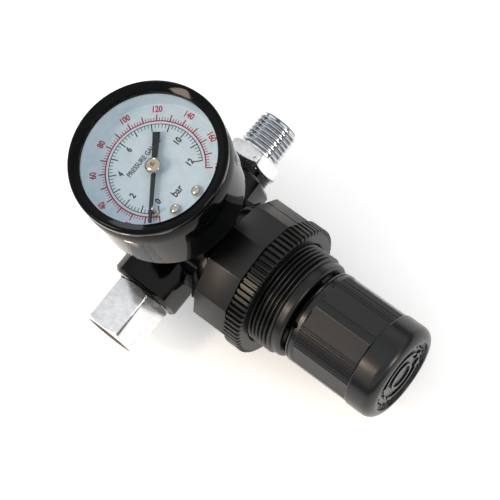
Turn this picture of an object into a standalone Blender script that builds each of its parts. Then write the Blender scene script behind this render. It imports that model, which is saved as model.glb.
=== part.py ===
"""In-line air pressure regulator with a dial gauge, modelled as the separate pieces it comes apart into.

Units are metres. The knob axis is X, the air flows along Y and the gauge looks up along Z. The three
axes are worked out from the point where knob axis and flow axis cross. One empty then moves everything
so that the world origin is the centre of the object's footprint, on the surface that it lies on.
"""

import math

import bmesh
import bpy
from mathutils import Matrix

GAP = 0.0003
RUNNING = 0.0001

# Knob axis: stations along X, from the crossing of the axes.
CAP_END = -0.0236
BODY_REAR = -0.0200
VALVE_SEAT = 0.0033
CHAMBER_FLOOR = 0.0115
FLANGE_BACK = 0.0132
BONNET_BACK = 0.0167
DIAPHRAGM_SEAT = 0.0172
SPIGOT_END = 0.0205
BONNET_SHOULDER = 0.0281
RING_WIDTH = 0.0055
SPRING_BORE_END = 0.0393
NECK_END = 0.0410
NOSE_END = 0.0439
STUB_END = 0.0490
KNOB_START = 0.0447
KNOB_GROOVE = 0.0464
FLUTES_END = 0.0672
KNOB_END = 0.0758

# Radii about the knob axis.
BONNET_RADIUS = 0.0207
BONNET_SIDES = 12
BONNET_TURN = math.radians(21.1)
NECK_RADIUS = 0.0161
NOSE_RADIUS = 0.01535
STUB_RADIUS = 0.0085
RING_RADIUS = 0.02095
KNOB_RADIUS = 0.01465
KNOB_BAND_RADIUS = 0.0149
KNOB_WALL = 0.0018
FLANGE_RADIUS = 0.0174
SPIGOT_RADIUS = 0.0164
CHEST_RADIUS = 0.0156
REAR_BOSS_RADIUS = 0.0105
SPRING_BORE_FLATS = 0.0216
SCREW_RADIUS = 0.0030
COLLAR_RADIUS = 0.0060

# Flow axis: stations along Y.
INLET_END = -0.0400
INLET_FACE = -0.0243
OUTLET_FACE = 0.0212
OUTLET_NECK_END = 0.0232
HEX_END = 0.0280
OUTLET_END = 0.0394
POCKET_FLOOR = 0.0130
PORT_FLATS = 0.0184
PORT_CHAMFER = 0.0028
PORT_BEVEL = 0.0010
HEX_FLATS = 0.0170
OUTLET_THREAD_RADIUS = 0.0069
INLET_BORE_RADIUS = 0.0059
OUTLET_BORE_RADIUS = 0.0035
SHANK_RADIUS = 0.0063

# Gauge axis: stations along Z.
GAUGE_X = -0.0013
GAUGE_BOSS_TOP = 0.0178
GAUGE_BOSS_RADIUS = 0.0075
GAUGE_SHANK_RADIUS = 0.0046
WASHER_THICKNESS = 0.0005
CASE_BOTTOM = 0.0267
CASE_TOP = 0.0515
CASE_RADIUS = 0.0212
CASE_WALL = 0.0010
BEZEL_BOTTOM = 0.0460
BEZEL_SHOULDER = 0.0529
BEZEL_TOP = 0.0542
BEZEL_RADIUS = 0.0217
DIAL_OPENING = 0.0188
LENS_RADIUS = 0.0202
LENS_BOTTOM = 0.0509
LENS_EDGE = 0.0011
LENS_CROWN = 0.0006
DIAL_RADIUS = 0.0198
DIAL_FACE = 0.0449
DIAL_THICKNESS = 0.0003
POINTER_BOTTOM = 0.0462
POINTER_THICKNESS = 0.0004
POINTER_LENGTH = 0.0159
TAIL_LENGTH = 0.0099
HUB_RADIUS = 0.0024
STOP_PIN_RADIUS = 0.0005
STOP_PIN_REACH = 0.0127
STOP_PIN_ANGLE = math.radians(-131)
REST_PLANE = -RING_RADIUS

# Gauge movement.
MODULE = 0.0003
PINION_TEETH = 10
SECTOR_TEETH = 70
TOOTH_DEPTH = (0.00036, 0.00022)
LOWER_PLATE = 0.0352
UPPER_PLATE = 0.0410
PLATE_THICKNESS = 0.0008
LOWER_PLATE_RADIUS = 0.0138
UPPER_PLATE_RADIUS = 0.0149
GEAR_LEVEL = 0.0384
GEAR_WIDTH = 0.0010
ARBOR_RADIUS = 0.0005
PIVOT_RADIUS = 0.0007
TUBE_RADIUS = 0.0162
TUBE_WIDTH = 0.0014
TUBE_LOW = 0.0295
TUBE_HIGH = 0.0345
TAIL_REACH = 0.0040

MATERIALS = {
    "black_enamel": ("#17181B", 0.22, 0.0),
    "black_nylon": ("#232427", 0.55, 0.0),
    "black_steel": ("#0E0F11", 0.16, 0.0),
    "zinc_plate": ("#C9CDD2", 0.25, 1.0),
    "brass": ("#C2A053", 0.30, 1.0),
    "spring_steel": ("#9EA1A6", 0.30, 1.0),
    "nitrile_rubber": ("#1C1C1C", 0.75, 0.0),
    "dial_paint": ("#E4EDF3", 0.50, 0.0),
    "pointer_paint": ("#17181A", 0.45, 0.0),
    "clear_polymer": ("#F4FAFF", 0.06, 0.0),
    "acetal": ("#E9E7DF", 0.45, 0.0),
}


def linear(channel):
    """One sRGB channel, 0 to 1, as linear light."""
    return channel / 12.92 if channel <= 0.04045 else ((channel + 0.055) / 1.055) ** 2.4


def make_material(name, colour, roughness, metallic):
    material = bpy.data.materials.new(name)
    material.use_nodes = True
    shader = material.node_tree.nodes["Principled BSDF"]
    channels = [linear(int(colour[i : i + 2], 16) / 255) for i in (1, 3, 5)]
    shader.inputs["Base Color"].default_value = (*channels, 1.0)
    shader.inputs["Roughness"].default_value = roughness
    shader.inputs["Metallic"].default_value = metallic
    material.diffuse_color = (*channels, 1.0)
    return material


def clear_scene():
    for old in list(bpy.data.objects):
        bpy.data.objects.remove(old, do_unlink=True)


def new_collection(name):
    collection = bpy.data.collections.new(name)
    bpy.context.scene.collection.children.link(collection)
    return collection


def new_empty(name, columns, location, parent=None):
    """An empty whose local X, Y and Z point along the three given directions."""
    empty = bpy.data.objects.new(name, None)
    parts.objects.link(empty)
    empty.empty_display_size = 0.01
    empty.rotation_euler = Matrix(columns).transposed().to_euler()
    empty.location = location
    empty.parent = parent
    return empty


def new_object(name, mesh, parent, along=0.0, at=(0.0, 0.0), turn=0.0):
    """A piece on an axis: `along` is its place on the axis, `at` its offset across it."""
    piece = bpy.data.objects.new(name, mesh)
    parts.objects.link(piece)
    piece.parent = parent
    piece.location = (at[0], at[1], along)
    piece.rotation_euler = (0.0, 0.0, turn)
    return piece


def finish(piece, material, sharp_degrees=35):
    """Gives a piece its material and smooth shading with sharp edges."""
    piece.data.materials.clear()
    piece.data.materials.append(finishes[material])
    piece.data.shade_smooth()
    piece.data.set_sharp_from_angle(angle=math.radians(sharp_degrees))
    return piece


def turned(name, profile, parent, steps=32, closed=True, **place):
    """A turned solid. The profile holds (radius, height), down the outer side and back up the bore."""
    mesh = bpy.data.meshes.new(name)
    points = [(radius, 0.0, height) for radius, height in profile]
    edges = [(i, i + 1) for i in range(len(points) - 1)]
    if closed:
        edges.append((len(points) - 1, 0))
    mesh.from_pydata(points, edges, [])
    piece = new_object(name, mesh, parent, **place)
    screw = piece.modifiers.new("Turn", "SCREW")
    screw.axis = "Z"
    screw.angle = math.tau
    screw.steps = steps
    screw.render_steps = steps
    screw.use_merge_vertices = True
    screw.merge_threshold = 1e-6
    screw.use_smooth_shade = True
    return piece


def solid_turned(name, profile, parent, steps=32, **place):
    """A turned solid without a bore: the profile starts and ends on the axis."""
    ends = [(0.0, profile[0][1]), *profile, (0.0, profile[-1][1])]
    return turned(name, ends, parent, steps, closed=False, **place)


def ring_profile(outer, inner, low, high):
    return [(outer, high), (outer, low), (inner, low), (inner, high)]


def prism(name, sides, radius, low, high, parent, top_radius=None, first=0.0, **place):
    """A straight or tapered prism with one corner at the angle `first`."""
    mesh = bpy.data.meshes.new(name)
    shape = bmesh.new()
    middle = Matrix.Translation((0.0, 0.0, (low + high) / 2)) @ Matrix.Rotation(first, 4, "Z")
    bmesh.ops.create_cone(
        shape,
        cap_ends=True,
        segments=sides,
        radius1=radius,
        radius2=radius if top_radius is None else top_radius,
        depth=high - low,
        matrix=middle,
    )
    shape.to_mesh(mesh)
    shape.free()
    return new_object(name, mesh, parent, **place)


def box(name, size, parent, **place):
    mesh = bpy.data.meshes.new(name)
    shape = bmesh.new()
    bmesh.ops.create_cube(shape, size=1.0, matrix=Matrix.Diagonal((*size, 1.0)))
    shape.to_mesh(mesh)
    shape.free()
    return new_object(name, mesh, parent, **place)


def plate(name, outline, low, high, parent, bevel=0.0, **place):
    """A flat piece cut to an outline and extruded from low to high; `bevel` breaks its end edges."""
    mesh = bpy.data.meshes.new(name)
    shape = bmesh.new()
    face = shape.faces.new([shape.verts.new((x, y, low)) for x, y in outline])
    raised = bmesh.ops.extrude_face_region(shape, geom=[face])["geom"]
    corners = [v for v in raised if isinstance(v, bmesh.types.BMVert)]
    bmesh.ops.translate(shape, verts=corners, vec=(0.0, 0.0, high - low))
    bmesh.ops.recalc_face_normals(shape, faces=shape.faces)
    if bevel:
        ends = [e for e in shape.edges if abs(e.verts[0].co.z - e.verts[1].co.z) < RUNNING]
        bmesh.ops.bevel(shape, geom=ends, offset=bevel, segments=1, affect="EDGES")
    shape.to_mesh(mesh)
    shape.free()
    return new_object(name, mesh, parent, **place)


def hide(tool):
    """Puts a shape among the cutters."""
    parts.objects.unlink(tool)
    cutters.objects.link(tool)
    tool.hide_render = True
    tool.display_type = "WIRE"
    return tool


def combine(piece, tool, operation):
    boolean = piece.modifiers.new(tool.name, "BOOLEAN")
    boolean.operation = operation
    boolean.solver = "EXACT"
    boolean.object = hide(tool)


def cut(piece, tool):
    combine(piece, tool, "DIFFERENCE")


def join(piece, tool):
    combine(piece, tool, "UNION")


def trim(piece, tool):
    combine(piece, tool, "INTERSECT")


def rod(name, radius, low, high, parent, steps=20, **place):
    """A plain round tool or pin."""
    return prism(name, steps, radius, low, high, parent, **place)


def corner_radius(flats, sides=6):
    return flats / 2 / math.cos(math.pi / sides)


def arc(centre, radius, start, end, count):
    """Points on an arc, with its angles in degrees from the radius direction to the axis direction."""
    angles = [math.radians(start + (end - start) * i / count) for i in range(count + 1)]
    return [(centre[0] + radius * math.cos(a), centre[1] + radius * math.sin(a)) for a in angles]


def body():
    """The casting: flow boss, valve boss, diaphragm chest with its flange, and two gauge bosses."""
    half = PORT_FLATS / 2
    flat = half - PORT_CHAMFER
    octagon = [(flat, half), (half, flat), (half, -flat), (flat, -half)]
    octagon += [(-x, -y) for x, y in octagon]
    piece = plate("regulator_body", octagon, INLET_FACE, OUTLET_FACE, flow_axis, bevel=PORT_BEVEL)
    join(piece, rod("outlet_neck", 0.0083, OUTLET_FACE - 0.004, OUTLET_NECK_END, flow_axis, 24))
    join(piece, rod("valve_boss", REAR_BOSS_RADIUS, BODY_REAR, 0.0, knob_axis, 20))
    cone = {"top_radius": CHEST_RADIUS, "first": BONNET_TURN}
    chest_start = 0.0030
    join(piece, prism("chest_cone", BONNET_SIDES, 0.0108, -0.0045, chest_start, knob_axis, **cone))
    chest = (CHEST_RADIUS, chest_start - 0.0002, FLANGE_BACK + 0.0005)
    join(piece, prism("chest", BONNET_SIDES, *chest, knob_axis, first=BONNET_TURN))
    flange = (FLANGE_RADIUS, FLANGE_BACK, BONNET_BACK - GAP)
    join(piece, prism("chest_flange", BONNET_SIDES, *flange, knob_axis, first=BONNET_TURN))
    join(piece, rod("bonnet_spigot", SPIGOT_RADIUS, BONNET_BACK - 0.001, SPIGOT_END, knob_axis, 36))
    for side, name in ((1, "gauge"), (-1, "rear")):
        join(piece, rod(f"{name}_boss", GAUGE_BOSS_RADIUS, 0.0, GAUGE_BOSS_TOP, gauge_axes[side], 24))
    cut(piece, rod("diaphragm_well", 0.0122, CHAMBER_FLOOR, 0.0300, knob_axis, 36))
    cut(piece, rod("diaphragm_ledge", DIAPHRAGM_RADIUS + GAP, DIAPHRAGM_SEAT, 0.0300, knob_axis, 36))
    cut(piece, rod("valve_orifice", 0.0024, 0.0, 0.0300, knob_axis, 20))
    cut(piece, rod("valve_chamber", VALVE_CHAMBER_RADIUS, -0.0300, VALVE_SEAT, knob_axis, 20))
    cut(piece, rod("cap_recess", CAP_SHANK_RADIUS + GAP, -0.0300, CAP_LEDGE, knob_axis, 20))
    for side, name in ((-1, "inlet"), (1, "outlet")):
        ends = sorted((side * POCKET_FLOOR, side * 0.0300))
        cut(piece, rod(f"{name}_port", SHANK_RADIUS + GAP, *ends, flow_axis, 20))
    cut(piece, rod("inlet_passage", 0.0030, -0.0140, -0.0030, flow_axis, 24))
    riser = 0.0018
    riser_place = (0.0122 - riser, 0.0)
    cut(piece, rod("outlet_riser", riser, -0.0010, 0.0200, knob_axis, 16, at=riser_place))
    cut(piece, rod("outlet_passage", riser, riser_place[0], 0.0140, flow_axis, 16))
    for side, name in ((1, "gauge"), (-1, "rear")):
        bore = rod(f"{name}_port", GAUGE_SHANK_RADIUS + GAP, 0.0100, 0.0300, gauge_axes[side], 20)
        cut(piece, bore)
        cut(piece, rod(f"{name}_riser", 0.0009, -0.0020, 0.0200, knob_axis, 12, at=(0.0, side * 0.0110)))
    return finish(piece, "black_enamel")


def bonnet():
    """The twelve-sided cover: a threaded neck for the panel ring and a stub that the knob turns around."""
    base = (BONNET_RADIUS, BONNET_BACK, BONNET_SHOULDER)
    piece = prism("bonnet", BONNET_SIDES, *base, knob_axis, first=BONNET_TURN)
    nose_round = 0.0015
    well = (0.0135, SPRING_BORE_END + 0.0020)
    neck = [(STUB_RADIUS - 0.0006, STUB_END), (STUB_RADIUS, STUB_END - 0.0006)]
    neck += [(STUB_RADIUS, well[1]), well, (well[0], NOSE_END)]
    neck += arc((NOSE_RADIUS - nose_round, NOSE_END - nose_round), nose_round, 90, 0, 5)
    neck += [(NOSE_RADIUS, NECK_END), (NECK_RADIUS, NECK_END - 0.0006)]
    neck += [(NECK_RADIUS, BONNET_SHOULDER - 0.002)]
    join(piece, solid_turned("threaded_neck", neck, knob_axis, 36))
    cut(piece, rod("spigot_bore", SPIGOT_RADIUS + GAP, 0.0, SPIGOT_END + GAP, knob_axis, 36))
    spring_bore = (corner_radius(SPRING_BORE_FLATS), SPIGOT_END, SPRING_BORE_END)
    cut(piece, prism("spring_bore", 6, *spring_bore, knob_axis))
    cut(piece, rod("screw_bore", SCREW_RADIUS + 2 * GAP, 0.0300, 0.0600, knob_axis, 20))
    return finish(piece, "black_nylon")


def panel_nut():
    bevel = 0.0006
    top = BONNET_SHOULDER + GAP + RING_WIDTH
    low = BONNET_SHOULDER + GAP
    inner = NECK_RADIUS + GAP
    profile = [
        (RING_RADIUS - bevel, top),
        (RING_RADIUS, top - bevel),
        (RING_RADIUS, low + bevel / 2),
        (RING_RADIUS - bevel / 2, low),
        (inner, low),
        (inner, top),
    ]
    return finish(turned("panel_nut", profile, knob_axis, 36), "black_nylon")


def knob():
    """A cup that opens toward the bonnet, with a hub that slides on the screw's hexagon head."""
    start_round = 0.0014
    edge = 0.0032
    recess = 0.0110
    depth = 0.0009
    inside = KNOB_RADIUS - KNOB_WALL
    roof = KNOB_END - 0.0030
    profile = [(0.0, KNOB_END - depth), (recess, KNOB_END - depth), (recess + 0.0004, KNOB_END)]
    profile += arc((KNOB_BAND_RADIUS - edge, KNOB_END - edge), edge, 90, 0, 6)
    profile += [(KNOB_BAND_RADIUS, FLUTES_END), (KNOB_RADIUS, FLUTES_END - 0.0003)]
    profile += arc((KNOB_RADIUS - start_round, KNOB_START + start_round), start_round, 0, -90, 4)
    profile += [(inside, KNOB_START), (inside, roof), (0.0, roof)]
    piece = turned("knob", profile, knob_axis, 36, closed=False)
    hub_start = STUB_END + 0.0022
    join(piece, rod("knob_hub", 0.0076, hub_start, roof + 0.0005, knob_axis, 20))
    socket = (corner_radius(HEAD_FLATS + 2 * GAP), hub_start - 0.001, HEAD_END + 0.0045)
    cut(piece, prism("hub_socket", 6, *socket, knob_axis))
    vent = rod("vent_hole", 0.0007, inside - 0.001, KNOB_RADIUS + 0.001, knob_axis, 12)
    around = Matrix.Rotation(VENT_ANGLE, 3, "Z") @ Matrix.Rotation(math.pi / 2, 3, "Y")
    vent.rotation_euler = around.to_euler()
    vent.location = (0.0, 0.0, KNOB_GROOVE - 0.0006)
    cut(piece, vent)
    return finish(piece, "black_nylon")


def adjusting_screw():
    """Left-hand screw that turns but doesn't travel: rod, thrust collar, neck and hexagon head."""
    low, high = COLLAR
    profile = [
        (SCREW_RADIUS, HEAD_START + 0.0002),
        (SCREW_RADIUS, high),
        (COLLAR_RADIUS, high),
        (COLLAR_RADIUS, low),
        (SCREW_RADIUS, low),
        (SCREW_RADIUS, 0.0256),
        (SCREW_RADIUS - 0.0006, 0.0250),
    ]
    piece = solid_turned("adjusting_screw", profile, knob_axis, 20)
    head = (corner_radius(HEAD_FLATS), HEAD_START, HEAD_END)
    join(piece, prism("screw_head", 6, *head, knob_axis))
    return finish(piece, "zinc_plate")


def thrust_washer():
    washer = ring_profile(COLLAR_RADIUS + 0.001, SCREW_RADIUS + GAP, *THRUST_WASHER)
    return finish(turned("thrust_washer", washer, knob_axis, 20), "acetal")


def spring_nut():
    """The hexagon nut that the screw drives: it slides in the bonnet's hexagonal bore."""
    flats = SPRING_BORE_FLATS - 2 * GAP
    piece = prism("spring_nut", 6, corner_radius(flats), *NUT, knob_axis)
    cut(piece, rod("nut_thread", SCREW_RADIUS + GAP, 0.0200, 0.0500, knob_axis, 20))
    return finish(piece, "brass")


def wire(name, points, thickness, parent, material):
    """A round wire along a line of points, with its ends closed."""
    curve = bpy.data.curves.new(name, "CURVE")
    curve.dimensions = "3D"
    curve.bevel_depth = thickness / 2
    curve.bevel_resolution = 2
    curve.use_fill_caps = True
    spline = curve.splines.new("POLY")
    spline.points.add(len(points) - 1)
    for point, place in zip(spline.points, points):
        point.co = (*place, 1.0)
    curve.materials.append(finishes[material])
    piece = bpy.data.objects.new(name, curve)
    parts.objects.link(piece)
    piece.parent = parent
    return piece


def coil_points(radii, heights, turns, per_turn=16):
    """Points of a coil whose radius and height go evenly from the first value to the second."""
    count = round(turns * per_turn)
    points = []
    for i in range(count + 1):
        share = i / count
        radius = radii[0] + (radii[1] - radii[0]) * share
        height = heights[0] + (heights[1] - heights[0]) * share
        angle = share * turns * math.tau
        points.append((radius * math.cos(angle), radius * math.sin(angle), height))
    return points


def compression_spring(name, radius, thickness, low, high, turns, per_turn):
    """A spring on the knob axis that fills the room from low to high."""
    heights = (low + thickness / 2, high - thickness / 2)
    points = coil_points((radius, radius), heights, turns, per_turn)
    return wire(name, points, thickness, knob_axis, "spring_steel")


def diaphragm():
    """A fabric-backed rubber disc with a thick rim and one rolled convolution."""
    low = DIAPHRAGM_SEAT + GAP
    web = (low + 0.0004, low + 0.0012)
    rim = DIAPHRAGM_RADIUS - 0.0018
    top = low + RIM_THICKNESS
    profile = [
        (DIAPHRAGM_RADIUS, top),
        (DIAPHRAGM_RADIUS, low),
        (rim, low),
        (rim, web[0]),
        (0.0108, web[1]),
        (0.0092, web[0]),
        (PLATE_STUB_RADIUS + GAP, web[0]),
        (PLATE_STUB_RADIUS + GAP, web[1]),
        (0.0090, web[1]),
        (0.0108, web[1] + 0.0008),
        (rim + 0.0002, web[1]),
        (rim + 0.0002, top),
    ]
    return finish(turned("diaphragm", profile, knob_axis, 20), "nitrile_rubber")


def slip_ring():
    """The hard ring that lets the bonnet clamp the diaphragm without twisting it."""
    low = DIAPHRAGM_SEAT + RIM_THICKNESS + 2 * GAP
    ring = ring_profile(DIAPHRAGM_RADIUS, DIAPHRAGM_RADIUS - 0.0015, low, SPIGOT_END)
    return finish(turned("slip_ring", ring, knob_axis, 20), "acetal")


def diaphragm_plate():
    """The plate that the regulating spring presses on; its stub goes through the diaphragm."""
    boss = PLATE_TOP + 0.0018
    profile = [
        (0.0050, boss),
        (0.0056, PLATE_TOP),
        (0.0090, PLATE_TOP),
        (0.0090, PLATE_BOTTOM),
        (PLATE_STUB_RADIUS, PLATE_BOTTOM),
        (PLATE_STUB_RADIUS, STUB_TIP),
    ]
    return finish(solid_turned("diaphragm_plate", profile, knob_axis, 20), "zinc_plate")


def valve_poppet():
    """A stem on a disc that carries the rubber face; the stem reaches up to the diaphragm plate."""
    stem_top = STUB_TIP - GAP
    profile = [
        (0.0009, stem_top),
        (VALVE_STEM_RADIUS, stem_top - 0.0004),
        (VALVE_STEM_RADIUS, DISC_TOP),
        (0.0044, DISC_TOP),
        (0.0044, DISC_BOTTOM),
        (VALVE_TAIL_RADIUS, DISC_BOTTOM),
        (VALVE_TAIL_RADIUS, CAP_TOP - 0.0020),
    ]
    return finish(solid_turned("valve_poppet", profile, knob_axis, 20), "brass")


def valve_face():
    face = ring_profile(0.0042, VALVE_STEM_RADIUS + GAP, DISC_TOP + GAP, VALVE_SEAT - GAP)
    return finish(turned("valve_face", face, knob_axis, 20), "nitrile_rubber")


def valve_cap():
    """The plug behind the valve: it guides the poppet's tail and holds its spring."""
    nose = VALVE_CHAMBER_RADIUS - GAP
    head = 0.0088
    profile = [
        (nose - 0.0005, CAP_TOP),
        (nose, CAP_TOP - 0.0005),
        (nose, CAP_LEDGE - 0.0014),
        (CAP_SHANK_RADIUS, CAP_LEDGE - 0.0014),
        (CAP_SHANK_RADIUS, BODY_REAR - GAP),
        (head, BODY_REAR - GAP),
        (head, CAP_END + 0.0005),
        (head - 0.0005, CAP_END),
    ]
    piece = solid_turned("valve_cap", profile, knob_axis, 20)
    guide = VALVE_TAIL_RADIUS + GAP
    cut(piece, rod("guide_bore", guide, CAP_TOP - 0.0060, 0.0, knob_axis, 20))
    cut(piece, box("screwdriver_slot", (0.0300, 0.0016, 0.0024), knob_axis, along=CAP_END))
    return finish(piece, "black_nylon")


def ring_seal(name, mean_radius, thickness, along, parent):
    """An O-ring about its axis."""
    section = arc((mean_radius, along), thickness / 2, 90, -270, 6)[:-1]
    return finish(turned(name, section, parent, 20), "nitrile_rubber")


def cap_seal():
    thickness = 0.0008
    middle = CAP_LEDGE - GAP - thickness / 2
    mean = (VALVE_CHAMBER_RADIUS + CAP_SHANK_RADIUS) / 2 + RUNNING
    return ring_seal("cap_seal", mean, thickness, middle, knob_axis)


def chamfered_hex(name, low, high, end_radius):
    """A hexagon along the flow axis with its corners turned down to `end_radius` at both ends."""
    radius = corner_radius(HEX_FLATS)
    piece = prism(name, 6, radius, low, high, flow_axis, first=math.pi / 2)
    outside = radius + GAP
    depth = (outside - end_radius) * math.tan(math.radians(30))
    corners = [(end_radius, high), (outside, high - depth), (outside, low + depth), (end_radius, low)]
    trim(piece, solid_turned(f"{name}_corners", corners, flow_axis, 24))
    return piece


def inlet_fitting():
    """The female end: a long hexagon with a threaded bore, screwed into the body."""
    low, high = INLET_END, INLET_FACE - GAP
    piece = chamfered_hex("inlet_fitting", low, high, 0.0078)
    shank_end = -POCKET_FLOOR - 2 * GAP - SEAL_THICKNESS
    join(piece, rod("inlet_shank", SHANK_RADIUS, high - 0.002, shank_end, flow_axis, 20))
    cut(piece, rod("inlet_thread", INLET_BORE_RADIUS, low - 0.01, -0.0275, flow_axis, 20))
    mouth = (INLET_BORE_RADIUS + 0.0015, low - 0.0008, low + 0.0007)
    cut(piece, prism("inlet_mouth", 20, *mouth, flow_axis, top_radius=INLET_BORE_RADIUS))
    cut(piece, rod("inlet_bore", 0.0032, -0.0300, -0.0100, flow_axis, 24))
    return finish(piece, "zinc_plate")


def outlet_fitting():
    """The male end: a short hexagon with a tapered thread, screwed into the body."""
    low = OUTLET_NECK_END + GAP
    piece = chamfered_hex("outlet_fitting", low, HEX_END, 0.0081)
    relief = OUTLET_THREAD_RADIUS - 0.0005
    outside = [
        (OUTLET_THREAD_RADIUS - 0.0010, OUTLET_END),
        (OUTLET_THREAD_RADIUS - 0.0003, OUTLET_END - 0.0008),
        (OUTLET_THREAD_RADIUS, HEX_END + 0.0013),
        (relief, HEX_END + 0.0012),
        (relief, HEX_END - 0.0010),
        (SHANK_RADIUS, HEX_END - 0.0011),
        (SHANK_RADIUS, POCKET_FLOOR + 2 * GAP + SEAL_THICKNESS),
    ]
    join(piece, solid_turned("outlet_thread", outside, flow_axis, 24))
    cut(piece, rod("outlet_bore", OUTLET_BORE_RADIUS, 0.0, OUTLET_END + 0.01, flow_axis, 24))
    return finish(piece, "zinc_plate")


def port_seals():
    """Flat washers at the bottoms of both port pockets."""
    for side, name, inner in ((-1, "inlet_seal", 0.0034), (1, "outlet_seal", 0.0037)):
        low = POCKET_FLOOR + GAP
        ends = sorted((side * low, side * (low + SEAL_THICKNESS)))
        finish(turned(name, ring_profile(SHANK_RADIUS, inner, *ends), flow_axis, 20), "nitrile_rubber")


def gauge_seals():
    """Fibre washers on the faces of both gauge bosses."""
    for side, name in ((1, "gauge_seal"), (-1, "plug_seal")):
        low = GAUGE_BOSS_TOP + GAP
        washer = ring_profile(0.0070, GAUGE_SHANK_RADIUS + GAP, low, low + WASHER_THICKNESS)
        finish(turned(name, washer, gauge_axes[side], 20), "nitrile_rubber")


def port_plug():
    """The plug in the unused gauge port; the object lies on its hexagon head."""
    head = (GAUGE_BOSS_TOP + WASHER_THICKNESS + 2 * GAP, -REST_PLANE)
    piece = prism("port_plug", 6, corner_radius(0.0130), *head, gauge_axes[-1])
    join(piece, rod("plug_shank", GAUGE_SHANK_RADIUS, 0.0112, head[0] + 0.001, gauge_axes[-1], 20))
    return finish(piece, "zinc_plate")


def gauge_socket():
    """The brass block that screws into the body, carries the case and feeds the Bourdon tube."""
    axis = gauge_axes[1]
    square = (GAUGE_BOSS_TOP + WASHER_THICKNESS + 2 * GAP, CASE_BOTTOM - GAP)
    piece = prism("gauge_socket", 4, corner_radius(0.0110, 4), *square, axis, first=math.pi / 4)
    join(piece, rod("socket_thread", GAUGE_SHANK_RADIUS, 0.0112, square[0] + 0.001, axis, 20))
    join(piece, rod("socket_neck", 0.0048, square[1] - 0.001, TUBE_LOW + 0.001, axis, 20))
    reach = TUBE_RADIUS - TUBE_WIDTH / 2 - GAP
    block = (reach + 0.0040, 0.0052, TUBE_HIGH - TUBE_LOW)
    middle = (reach - 0.0040) / 2
    place = (middle * math.cos(TUBE_START), middle * math.sin(TUBE_START))
    height = (TUBE_LOW + TUBE_HIGH) / 2
    join(piece, box("tube_block", block, axis, along=height, at=place, turn=TUBE_START))
    cut(piece, rod("socket_bore", 0.0012, 0.0, height, axis, 16))
    return finish(piece, "brass")


def gauge_case():
    """The cup that holds the movement; its rim steps in under the bezel's skirt."""
    axis = gauge_axes[1]
    corner = 0.0020
    inner = CASE_RADIUS - CASE_WALL
    floor = CASE_BOTTOM + CASE_WALL
    step = BEZEL_BOTTOM - GAP
    counterbore = LENS_BOTTOM - CASE_WALL
    profile = [(CASE_RADIUS - GAP, CASE_TOP), (CASE_RADIUS - GAP, step), (CASE_RADIUS, step)]
    profile += arc((CASE_RADIUS - corner, CASE_BOTTOM + corner), corner, 0, -90, 4)
    profile += [(0.0051, CASE_BOTTOM), (0.0051, floor), (inner - 0.0010, floor), (inner, floor + 0.0010)]
    profile += [(inner, counterbore), (inner + GAP, counterbore), (inner + GAP, CASE_TOP)]
    return finish(turned("gauge_case", profile, axis, 36), "black_steel")


def gauge_bezel():
    """The rolled ring that holds the lens on the case."""
    roll = BEZEL_TOP - BEZEL_SHOULDER
    under = LENS_BOTTOM + LENS_EDGE + GAP
    profile = [(DIAL_OPENING + 0.0006, BEZEL_TOP)]
    profile += arc((BEZEL_RADIUS - roll, BEZEL_SHOULDER), roll, 80, 0, 4)
    profile += [(BEZEL_RADIUS, BEZEL_BOTTOM), (CASE_RADIUS, BEZEL_BOTTOM), (CASE_RADIUS, under)]
    profile += [(DIAL_OPENING, under), (DIAL_OPENING, BEZEL_TOP - 0.0006)]
    return finish(turned("gauge_bezel", profile, gauge_axes[1], 36), "black_steel")


def gauge_lens():
    """The clear window, a little domed toward the middle."""
    edge = LENS_BOTTOM + LENS_EDGE
    profile = [(0.0, edge + LENS_CROWN), (0.0100, edge + LENS_CROWN * 0.6)]
    profile += [(DIAL_OPENING - 0.0008, edge), (LENS_RADIUS, edge), (LENS_RADIUS, LENS_BOTTOM)]
    profile += [(0.0, LENS_BOTTOM)]
    return finish(turned("gauge_lens", profile, gauge_axes[1], 36, closed=False), "clear_polymer")


def lens_gasket():
    ring = ring_profile(LENS_RADIUS, LENS_RADIUS - 0.0010, LENS_BOTTOM - 0.0007, LENS_BOTTOM - GAP)
    return finish(turned("lens_gasket", ring, gauge_axes[1], 36), "nitrile_rubber")


def gauge_dial():
    low = DIAL_FACE - DIAL_THICKNESS
    axis = gauge_axes[1]
    piece = rod("gauge_dial", DIAL_RADIUS, low, DIAL_FACE, axis, 36)
    cut(piece, rod("dial_hole", ARBOR_RADIUS + 2 * GAP, 0.0400, 0.0500, axis, 24))
    for name, place in DIAL_SCREWS.items():
        cut(piece, rod(f"{name}_hole", 0.0011, 0.0400, 0.0500, axis, 16, at=place))
    cut(piece, rod("stop_pin_hole", 0.0008, 0.0400, 0.0500, axis, 16, at=STOP_PIN_PLACE))
    return finish(piece, "dial_paint")


def dial_screw(name, place):
    """A round-headed screw that holds the dial on the movement."""
    low = DIAL_FACE + GAP
    profile = arc((0.0, low), 0.0015, 75, 0, 4)
    profile = [(radius, low + (height - low) * 0.7) for radius, height in profile]
    profile += [(SCREW_SHANK_RADIUS, low), (SCREW_SHANK_RADIUS, UPPER_PLATE + PLATE_THICKNESS / 4)]
    return finish(solid_turned(name, profile, gauge_axes[1], 20, at=place), "zinc_plate")


def stop_pin():
    collar = DIAL_FACE + 0.0007
    profile = [
        (STOP_PIN_RADIUS * 0.7, 0.0486),
        (STOP_PIN_RADIUS, 0.0484),
        (STOP_PIN_RADIUS, collar),
        (0.00095, collar),
        (0.00095, DIAL_FACE + GAP),
        (STOP_PIN_RADIUS, DIAL_FACE + GAP),
        (STOP_PIN_RADIUS, DIAL_FACE - DIAL_THICKNESS - 0.0012),
    ]
    return finish(solid_turned("stop_pin", profile, gauge_axes[1], 16, at=STOP_PIN_PLACE), "zinc_plate")


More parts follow.
